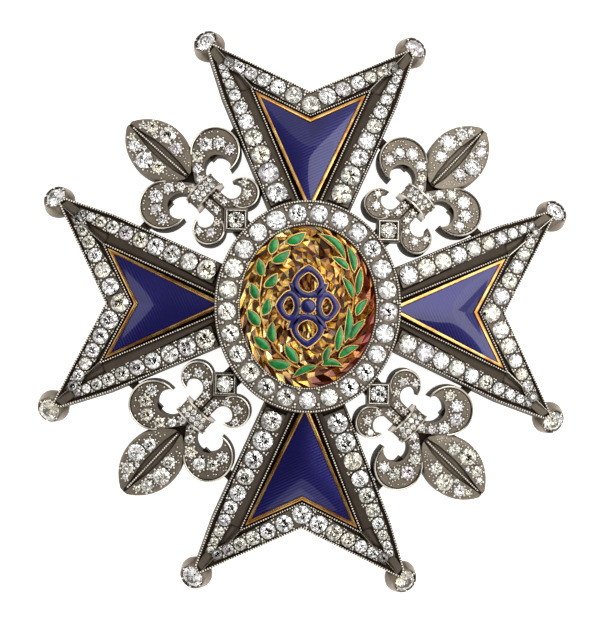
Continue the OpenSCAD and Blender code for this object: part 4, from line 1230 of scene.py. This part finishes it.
def build_spray(name, table, stem, radius):
    edge, glass = Shell(), Shell()
    for x0, y0, x1, y1, width, bend in np.array(table) / 10.0:
        way = np.array([x1 - x0, y1 - y0])
        turn = math.degrees(math.atan2(way[1], way[0])) - 90
        loop = turned(leaf_shape(np.linalg.norm(way), width, bend * 0.8), turn) + [x0, y0]
        enamelled(edge, glass, loop, 0.16 if width > 1.3 else 0.12)
    line = np.array(stem) / 10.0
    t = np.linspace(0, len(line) - 1, 34)
    line = np.column_stack([np.interp(t, range(len(line)), line[:, k]) for k in (0, 1)])
    tube(edge, lifted(line, ORNAMENT + 0.18), np.linspace(radius, radius * 0.6, len(line)), 8)
    make(name + "_gold", edge, gold, None, [name + "_spray"], "gold")
    make(name + "_enamel", glass, green_enamel, None, (), "green_enamel")


build_spray("laurel", LAUREL, LAUREL_STEM, 0.14)
build_spray("palm", PALM, PALM_STEM, 0.15)
print("leaves:", len(LAUREL) + len(PALM))

# %% Rosette
edge, glass = Shell(), Shell()
ROSE_W, ROSE_H = (RING_W - RING_BAND) * 0.49, (RING_H - RING_BAND) * 0.525
for turn, length, width in ((0, ROSE_H, 4.8), (180, ROSE_H, 4.8), (90, ROSE_W, 4.5), (270, ROSE_W, 4.5)):
    outer = turned(leaf_shape(length - 0.7, width, 0, 17) + [0, 0.7], turn)
    inner = turned(leaf_shape(length - 3.3, width - 2.3, 0, 17) + [0, 2.0], turn)[::-1]
    slab(edge, [outer, inner], CELL)
    slab(glass, [offset_loop(outer, 0.17), offset_loop(inner, 0.15)],
         levels((0.14, 0.36), (0.06, 0.35), (0, 0.31), (0, 0.2)))
for turn in (40, 140, 220, 320):
    enamelled(edge, glass, turned(leaf_shape(3.1, 1.15, 0) + [0, 1.3], turn), 0.13)
hub = circle((0, 0), 1.2, 32, hole=False)
slab(edge, [hub], levels((0.04, 0.36), (0, 0.3)) + CELL[-1:])
slab(glass, [offset_loop(hub, 0.17)], levels((0.4, 0.5), (0.15, 0.46), (0, 0.38), (0, 0.3)))
make("rosette_gold", edge, gold, None, ["centre_rosette"], "gold")
piece = make("rosette_glass", glass, rosette_enamel, None, (), "blue_enamel")
print(piece.name, len(piece.data.polygons), "faces")


# %% [markdown]
# ## Fleurs-de-lis
# A fleur is soldered from a pointed petal, two large lobes, a tie band, two small
# scrolls and a square collet. Lobes and scrolls are crescents with a bright rim on
# the outer side. A local drawing has y outward from the collet.

# %% Fleur sizes
FLEUR_Z, FLEUR_SLOPE, FLEUR_THICK = 6.6, 12.0, 2.3
BEARING, COLLET_OUT, FLEUR_SHIFT, FLEUR_AXIS, FLEUR_TURN = 47.0, 1.8, 2.4, 44.8, 3.0
FLEURS = [("ne", 1, 1), ("nw", -1, 1), ("sw", -1, -1), ("se", 1, -1)]
LOBE, LOBE_R, LOBE_HOLE, LOBE_HOLE_R = np.array([5.2, 8.5]), 3.5, np.array([3.7, 6.65]), 1.85
SCROLL, SCROLL_R, SCROLL_HOLE, SCROLL_HOLE_R = np.array([3.45, 1.5]), 2.3, np.array([2.75, 2.9]), 1.25
PETAL_END, PETAL_LONG, PETAL_WIDE = 20.5, 12.0, 7.9
TIE_AT, PARTING, TIE_ARC = 5.65, 7.6, 3.2
TIE_TOP = FLEUR_THICK + 0.75 - TIE_ARC
TIE_STONES = [(x, 0.42) for x in (-1.7, -0.85, 0.0, 0.85, 1.7)]
TIE_STONES += [(x, -0.42) for x in (-1.28, -0.43, 0.43, 1.28)]


def fleur_base(sx, sy):
    c, s = math.cos(math.radians(BEARING)), math.sin(math.radians(BEARING))
    radius = 1 / math.hypot(c / RING_W, s / RING_H) + COLLET_OUT
    a = math.atan2(sy * s, sx * c) - math.radians(FLEUR_SHIFT)
    return np.array([radius * math.cos(a), radius * math.sin(a)])


def lay_fleur(sx, sy):
    x, y = fleur_base(sx, sy)
    axis = polar(np.zeros(2), FLEUR_AXIS, 1.0) * [sx, sy]
    return shift(x, y, FLEUR_Z) @ turn_z(direction(axis) + FLEUR_TURN - 90) @ turn_x(-FLEUR_SLOPE)


# %% Outlines of a fleur
def arc(centre, radius, a, b, count):
    t = np.radians(np.linspace(a, b, count))
    return np.stack([centre[0] + radius * np.cos(t), centre[1] + radius * np.sin(t)], 1)


def direction(v):
    return math.degrees(math.atan2(v[1], v[0]))


def polar(at, degrees, distance):
    return at + distance * np.array([math.cos(math.radians(degrees)), math.sin(math.radians(degrees))])


def crescent(centre, radius, hole, hole_radius):
    """Which way a disc's off-centre hole lies, and how far to each side it cuts the edge."""
    d = np.linalg.norm(hole - centre)
    half = math.acos((d * d + radius ** 2 - hole_radius ** 2) / (2 * d * radius))
    return direction(hole - centre), math.degrees(half)


def lobe_loop():
    """The right lobe, anticlockwise, and its outer edge for the rim."""
    at, half = crescent(LOBE, LOBE_R, LOBE_HOLE, LOBE_HOLE_R)
    gap = np.array([0, PARTING]) - LOBE
    touch = direction(gap) - math.degrees(math.acos(LOBE_R / np.linalg.norm(gap)))
    # Outer edge from the hook's tip round to the tangent of the inner horn
    outer = arc(LOBE, LOBE_R, at + half - 360, touch, 40)
    foot = LOBE_HOLE + [-LOBE_HOLE_R * 0.86, -LOBE_HOLE_R * 0.5]
    start, end = direction(foot - LOBE_HOLE) + 360, direction(outer[0] - LOBE_HOLE)
    inner = arc(LOBE_HOLE, LOBE_HOLE_R, start, end, 26)
    horn = [[0.1, PARTING - 0.1], [0.1, TIE_AT], [foot[0], TIE_AT]]
    return np.concatenate([outer, horn, inner[:-1]]), outer


def scroll_loop():
    """The right scroll: a crescent whose inner horn runs up beside the axis to the tie band."""
    at, half = crescent(SCROLL, SCROLL_R, SCROLL_HOLE, SCROLL_HOLE_R)
    outer = arc(SCROLL, SCROLL_R, -165, at - half, 30)
    inner = arc(SCROLL_HOLE, SCROLL_HOLE_R, direction(outer[-1] - SCROLL_HOLE), -180, 18)
    horn = [[1.42, TIE_AT - 0.9], [0.1, TIE_AT - 0.9], [0.1, 1.1]]
    return np.concatenate([outer, inner[1:], horn]), outer


def petal_loop():
    r = ((PETAL_LONG / 2) ** 2 + (PETAL_WIDE / 2) ** 2) / PETAL_WIDE
    half = math.degrees(math.asin(PETAL_LONG / 2 / r))
    right = arc((PETAL_WIDE / 2 - r, PETAL_END - PETAL_LONG / 2), r, -half, half, 22)
    return np.concatenate([right, flipped(right)[1:-1]])


# %% [markdown]
# Stones of the lobe and the scroll are listed by their direction and distance from the
# hole's middle, and those of the petal by shares of its size. The last number of each
# is the diameter. Grains fill the metal that the stones leave free.

# %% Stones and grains of a fleur
LOBE_TABLE = [[168, .83, .31], [138, .79, .36], [104, .89, .43], [70, 1.05, .52], [40, .99, .45],
              [10, .87, .39]]
SCROLL_TABLE = [[154, 2.2, .72], [-170, 1.95, .85], [-117, 1.77, .92], [-65, 2.1, 1.2], [-15, 1.9, .95]]
PETAL_TABLE = [[.64, .46, .22], [.46, .61, .31], [.26, .46, .21], [.36, .28, .085], [.165, .30, .11]]
lobe_stones = [(polar(LOBE_HOLE, a, s * LOBE_R), d * LOBE_R) for a, s, d in LOBE_TABLE]
scroll_stones = [(polar(SCROLL_HOLE, a, s), d) for a, s, d in SCROLL_TABLE]
petal_stones = [(np.array([s * PETAL_WIDE / 2, PETAL_END - a * PETAL_LONG]), d * PETAL_WIDE)
                for a, s, d in PETAL_TABLE]
print("stones in half a fleur:", len(lobe_stones) + len(scroll_stones) + len(petal_stones))


def both(stones):
    return stones + [(p * [-1, 1], d) for p, d in stones]


def grains_round(stones, loop, seed):
    """Grains in a circle round each stone and scattered between, where the metal has room."""
    rng = np.random.default_rng(seed + 300)
    out = []

    def add(q, r, others, gap, between, edge):
        free = all(np.linalg.norm(q - p) > d / 2 + gap for p, d in others)
        apart = all(math.hypot(q[0] - x, q[1] - y) > r + s + between for x, y, s in out)
        if free and apart and clear_of(loop, q) > edge:
            out.append((q[0], q[1], r))

    for p, d in stones:
        count = 8 if d > 1.3 else 6
        others = [(o, e) for o, e in stones if o is not p]
        for k in range(count):
            r = rng.uniform(0.15, 0.2)
            q = polar(p, 360 * (k + rng.uniform(-0.2, 0.2)) / count, d / 2 + 0.13)
            add(q, r, others, 0.08, -0.02, 0.17)
    for q in rng.uniform(np.min(loop, 0), np.max(loop, 0), (260, 2)):
        add(q, rng.uniform(0.1, 0.15), stones, 0.12, 0.06, 0.42)
    return out


# %% [markdown]
# The metal of a fleur is drawn for its right half and mirrored, as a maker saws both
# halves from one folded pattern. The tie band's small plate is drawn flat and bent.

# %% The fleurs' metal
FOOT = PETAL_END - PETAL_LONG
THROAT = [[0.35, PETAL_END - 2.0], [0.8, PETAL_END - 4.6], [0.9, PETAL_END - 6.5], [0.75, FOOT + 2.4]]
TROUGH = [[0.4, FOOT + 0.4], [0.8, FOOT + 2.4], [0.94, PETAL_END - 6.5], [0.84, PETAL_END - 4.6],
          [0.4, PETAL_END - 2.0], [0.16, PETAL_END - 0.3]]
lobe, lobe_rim = lobe_loop()
scroll, scroll_rim = scroll_loop()
petal, ARC = petal_loop(), 22
half_petal = np.concatenate([[[0.35, FOOT + 0.4]], petal[1:ARC - 1], [[0.14, PETAL_END - 0.3]], THROAT])


def fleur_half():
    """The metal right of the axis, and the bright wires on its rims."""
    one, rims, top = Shell(), Shell(), FLEUR_THICK
    for shape, rim, stones, centre, low in ((lobe, lobe_rim, lobe_stones, LOBE, 0.0),
                                            (scroll, scroll_rim, scroll_stones, SCROLL, -0.2)):
        # Insets along the rim, for the dark line inside the bright wire
        deep = np.zeros(len(shape))
        deep[3:len(rim) - 3] = 0.34
        deep[[2, len(rim) - 3]] = 0.2
        high = top + low
        slab(one, [shape] + seats(stones, 0.06, 14),
             [((deep * 1.2, 0), high - 0.02, 0.42), ((deep, 0), high - 0.08, 0.5),
              ((deep * 0.9, 0), high - 0.2, 1.0), (0, high - 0.22, 0.9), (0, 1.3, 0.8)])
        slab(one, [shape], [(0, 1.3, 1), (0, 0.12, 0.6), (deep * 0.35, 0, 0.5)])
        inward = rim + (centre - rim) * (0.15 / np.linalg.norm(rim - centre, axis=1, keepdims=True))
        tube(rims, lifted(inward, high - 0.04), 0.15, 8)
    # Strut to the arm
    prism(one, [[4, 7.95], [9.6, 7.95], [9.6, 9.05], [4, 9.05]], 0.5, 1.7, 0.7)
    # Half of the petal: a pillow that falls to the trough beside the rib
    soft = np.append(np.clip(np.minimum(np.arange(ARC), np.arange(ARC)[::-1]) / 5, 0, 1), [0] * len(THROAT))
    slab(one, [half_petal] + seats(petal_stones, 0.06, 16),
         [((soft * 0.3, 0), top, 0.38), ((soft * 0.14, 0), top - 0.05, 0.36),
          ((soft * 0.04, 0), top - 0.15, 0.4), (0, top - 0.3, 0.55), (0, 1.1, 0.8)])
    return one, rims


def tie_band(body, bright):
    """A bent band with a bright wire along each edge, and its plate with nine seats."""
    for y0, y1, grow, wide, shade, target in ((-1.05, 1.05, -0.42, 2.3, 1.0, body),
                                              (-1.16, -0.94, 0.09, 2.5, 0.0, bright),
                                              (0.94, 1.16, 0.09, 2.5, 0.0, bright)):
        section = [[x, TIE_TOP + math.sqrt((TIE_ARC + grow) ** 2 - x * x)]
                   for x in np.linspace(-wide, wide, 13)]
        section = [[-wide, 0.05]] + section + [[wide, 0.05]]
        n = len(section)
        verts = [[x, TIE_AT + y, z] for y in (y0, y1) for x, z in section]
        faces = [list(range(n))[::-1], list(range(n, 2 * n))]
        faces += [[i, (i + 1) % n, n + (i + 1) % n, n + i] for i in range(n)]
        # Painted shade, with oxide: the band under the plate is dark all over, every face below 1.5 mm is
        # dark, and the edge wires stay bright on top.
        target.add(verts, faces, [0.75 if z < 1.5 else shade for _, _, z in verts])
    # The plate is drawn flat, with its seats, and bent over the band
    plate, long_side = Shell(), np.linspace(-2.6, 2.6, 14)
    edge = [[x, -0.96] for x in long_side] + [[x, 0.96] for x in long_side[::-1]]
    slab(plate, [np.array(edge)] + [circle(p, 0.36, 12) for p in TIE_STONES],
         [(0, 0, 0.4), (0, -0.08, 0.5), (0, -0.44, 0.9)])
    body.add([bent(*p) for p in np.concatenate(plate.v)], plate.f, np.concatenate(plate.recess))


def bent(x, y, z):
    """Where a point of the flat plate comes to lie on the tie band."""
    a, r = x / TIE_ARC, TIE_ARC + z
    return [r * math.sin(a), TIE_AT + y, TIE_TOP + r * math.cos(a)]


def fleur_metal(label, place):
    body, bright = Shell(), Shell()
    for target, half in zip((body, bright), fleur_half()):
        both_sides(target, half)
    slab(body, [np.array(TROUGH + flipped(TROUGH))], [(0, 1.95, 0.42), (0, 1.1, 0.8)])
    slab(body, [petal], [(0, 1.1, 1), (0, 0.15, 0.6), (0.05, 0, 0.5)])
    # The rib, the stem and the tie band
    rib = [[0.0, y, 2.0] for y in np.linspace(FOOT + 0.6, PETAL_END - 0.7, 8)]
    tube(body, rib, np.linspace(0.24, 0.16, 8), 8, 0.3)
    prism(body, [[-1.2, 0.4], [1.2, 0.4], [1.2, 9.2], [-1.2, 9.2]], 0.0, 1.55, 0.85)
    tie_band(body, bright)
    make("fleur_" + label, body, silver, place, ["fleur_" + label])
    make("fleur_rims_" + label, bright, rim_silver, place)


# %% [markdown]
# The collet stands square to the star, not to its fleur. Then come the millegrain on
# the petal's rib, the stones, and the grains round each of them.

# %% Collets, beads, stones and grains of the fleurs
COLLET_TOP = FLEUR_Z + 2.8


def collet(label, x, y):
    """A dark square housing, parallel to the star's axes, with a thin bright frame in it."""
    housing = Shell()

    def square(half):
        return np.array([[-1, -1], [1, -1], [1, 1], [-1, 1]]) * half + [x, y]

    # The housing's numbers paint shade, with oxide; the frame's stay at 0, so it stays bright.
    slab(housing, [square(1.64), square(1.06)[::-1]],
         [((0.1, 0), COLLET_TOP - 0.3, 0.55), (0, COLLET_TOP - 0.4, 0.7), (0, COLLET_TOP - 1.4, 0.9)])
    slab(housing, [square(1.64)],
         [(0, COLLET_TOP - 1.4, 1), (0, FLEUR_Z + 0.1, 0.7), (0.1, FLEUR_Z, 0.5)])
    slab(housing, [square(1.38), square(1.2)[::-1]],
         [(0.04, COLLET_TOP, 0.0), (0, COLLET_TOP - 0.05, 0.0), (0, COLLET_TOP - 0.35, 0.4)])
    make("collet_" + label, housing, rim_silver)


def build_fleur(label, sx, sy, number):
    place, top = lay_fleur(sx, sy), FLEUR_THICK
    x, y = fleur_base(sx, sy)
    long = math.hypot(x, y)
    fleur_metal(label, place)
    collet(label, x, y)
    build_tongue("fleur_root_" + label, long - 4.85, long, 1.4, math.degrees(math.atan2(y, x)))
    line = [[0, v, 2.2] for v in np.linspace(FOOT + 0.9, PETAL_END - 1.2, 6)]
    bead_row("fleur_beads_" + label, moved(line, place), 0.34, 0.17, number + 90)
    face = place.to_3x3().to_4x4()
    heights = (lobe_stones, top + 0.02), (petal_stones, top + 0.04), (scroll_stones, top - 0.18)
    stones = [(laid(place, *p, z), d, face) for group, z in heights for p, d in both(group)]
    stones += [(laid(place, *bent(*p, 0.03)), 0.8, face @ Matrix.Rotation(p[0] / TIE_ARC, 4, "Y"))
               for p in TIE_STONES]
    set_stones("fleur_diamonds_" + label, stones, ["fleur_stones_" + label], seed=number + 100)
    set_stones("square_diamond_" + label, [((x, y, COLLET_TOP - 0.3), 2.2, Matrix.Identity(4))],
               ["square_stone_" + label], square_shapes, seed=number + 110)
    fields = ((lobe_stones, lobe, top), (petal_stones, half_petal, top - 0.02),
              (scroll_stones, scroll, top - 0.2))
    spots = [((s * u, v, z), r) for group, shape, z in fields
             for u, v, r in grains_round(group, shape, number) for s in (1, -1)]
    spots += [(bent(u + (0.0 if v < 0.5 else 0.42), v, 0), 0.14)
              for u in (-2.2, -1.28, -0.43, 0.43, 1.28, 2.2) for v in (-0.78, 0.0, 0.78)]
    set_grains("fleur_grains_" + label, [(laid(place, *p), r) for p, r in spots], number + 120)


for number, (label, sx, sy) in enumerate(FLEURS):
    build_fleur(label, sx, sy, number)
print("fleurs:", len(FLEURS))


# %% [markdown]
# ## The hidden back
# A plain plate closes the medallion from behind, and a plain brooch pin crosses it.
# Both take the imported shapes, with softened edges.

# %% Back plate and pin
def softened(node_name, name, material, slot, width):
    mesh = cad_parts[node_name].data.copy()
    work = bmesh.new()
    work.from_mesh(mesh)
    bmesh.ops.remove_doubles(work, verts=work.verts, dist=1e-6)
    bmesh.ops.dissolve_limit(work, angle_limit=0.01, verts=work.verts, edges=work.edges)
    work.to_mesh(mesh)
    work.free()
    rough_piece = stand(name + " copy", mesh)
    bevel = rough_piece.modifiers.new("soft edges", "BEVEL")
    bevel.width, bevel.segments, bevel.limit_method, bevel.angle_limit = width * MM, 2, "ANGLE", 0.6
    made = plain(rough_piece)
    made.name = name
    finish_mesh(made, material, 35)
    keep(name, made, [node_name], slot)


softened("back_plate", "plain_back_plate", silver, "silver", 0.12)
softened("brooch_pin", "plain_brooch_pin", cup_silver, "pin_silver", 0.1)
print("back plate and pin softened")


# %% [markdown]
# ## Riding the frame
# The star has no joint, so every piece rides the one body.

# %% Riding
for piece, nodes, slot in PIECES:
    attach(piece, "root")
    if nodes:
        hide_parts(*nodes)
faces = sum(len(p.data.polygons) for p, _, _ in PIECES)
print("pieces:", len(PIECES), "faces:", faces)

# %% [markdown]
# ## Studio
# A pale table of opal glass, faintly lit from below, and soft boxes. The camera stands
# nearly above the star, as in the photograph, a little below and to the left of its middle.

# %% Floor, lights and camera
def matt(name, per_mm, tones, rough, gloss, glow):
    material, add, clouds = new_material(name, (per_mm, 2.0, 0.5))
    shade = add(RAMP, {"Fac": clouds}, list(zip((0.3, 0.7), tones)))
    shader = add(SURFACE, {
        "Base Color": shade, "Roughness": rough, "Specular IOR Level": gloss,
        "Emission Color": shade, "Emission Strength": glow})
    add(OUTPUT, {"Surface": shader})
    return material


def sheet(name, corners, material):
    """One flat face that isn't part of the star."""
    thing = stand(name, mesh_of(name, corners, (), [list(range(len(corners)))]))
    thing.data.materials.append(material)


glass_table = matt("opal glass, lit from below", 0.02, ("fbfbfb", "ffffff"), 0.9, 0.1, 0.85)
sheet("floor", [(-1500, -1500, 0), (1500, -1500, 0), (1500, 1500, 0), (-1500, 1500, 0)], glass_table)
# A black card behind the camera, as round a real lens, keeps flat faces from going milky
felt = matt("black card", 0.5, ("0c0c0c", "151515"), 0.95, 0.05, 0.0)
sheet("black card", lifted(circle((0, 0), 270, 48, hole=False), 460), felt)

world = bpy.data.worlds.new("soft studio")
bpy.context.scene.world = world
world.use_nodes = True
sky = world.node_tree.nodes["Background"]
sky.inputs[0].default_value, sky.inputs[1].default_value = (1.0, 0.985, 0.96, 1), 0.8

LIGHTS = [("key", (0.158, 0.1, 0.42), (0.1, 0.06, 0.005), (0.3, 0.29), 1.0),
          ("left fill", (-0.5, 0.12, 0.42), (0, 0, 0), (0.4, 0.5), 0.6),
          ("front fill", (0.08, -0.55, 0.42), (0, 0, 0), (0.5, 0.4), 0.6),
          ("back fill", (-0.05, 0.68, 0.24), (0, 0, 0), (0.5, 0.3), 0.7),
          ("right fill", (0.62, -0.1, 0.34), (0, 0, 0), (0.35, 0.5), 0.6)]
for name, at, aim, size, power in LIGHTS:
    lamp = bpy.data.lights.new(name, "AREA")
    lamp.shape, lamp.size, lamp.size_y, lamp.energy = "RECTANGLE", size[0], size[1], power
    light = stand(name, lamp)
    light.location = at
    light.rotation_mode = "QUATERNION"
    light.rotation_quaternion = (Vector(aim) - Vector(at)).to_track_quat("-Z", "Y")
print("lights:", len(LIGHTS))

# %% Camera
camera = stand("camera", bpy.data.cameras.new("camera"))
bpy.context.scene.camera = camera
DISTANCE, METRES_A_PIXEL, ROLL = 0.330, 0.0001391, math.radians(1.26)
back = Vector((-0.056, -0.0685, 1)).normalized()
up = Vector((-math.sin(ROLL), math.cos(ROLL), 0))
right = up.cross(back).normalized()
up = back.cross(right)
target = Vector((0, 0, 0.005)) - right * (305.6 - 303) * METRES_A_PIXEL + up * (308.9 - 310) * METRES_A_PIXEL
turned_to = Matrix((right, up, back)).transposed().to_4x4()
camera.matrix_world = Matrix.Translation(target + back * DISTANCE) @ turned_to
camera.data.sensor_width = 36
camera.data.sensor_fit = "HORIZONTAL"
camera.data.lens = 36 * DISTANCE / (606 * METRES_A_PIXEL)
camera.data.clip_start, camera.data.clip_end = 0.01, 10
camera.data.dof.use_dof = False
bpy.context.scene.view_settings.view_transform = "Standard"
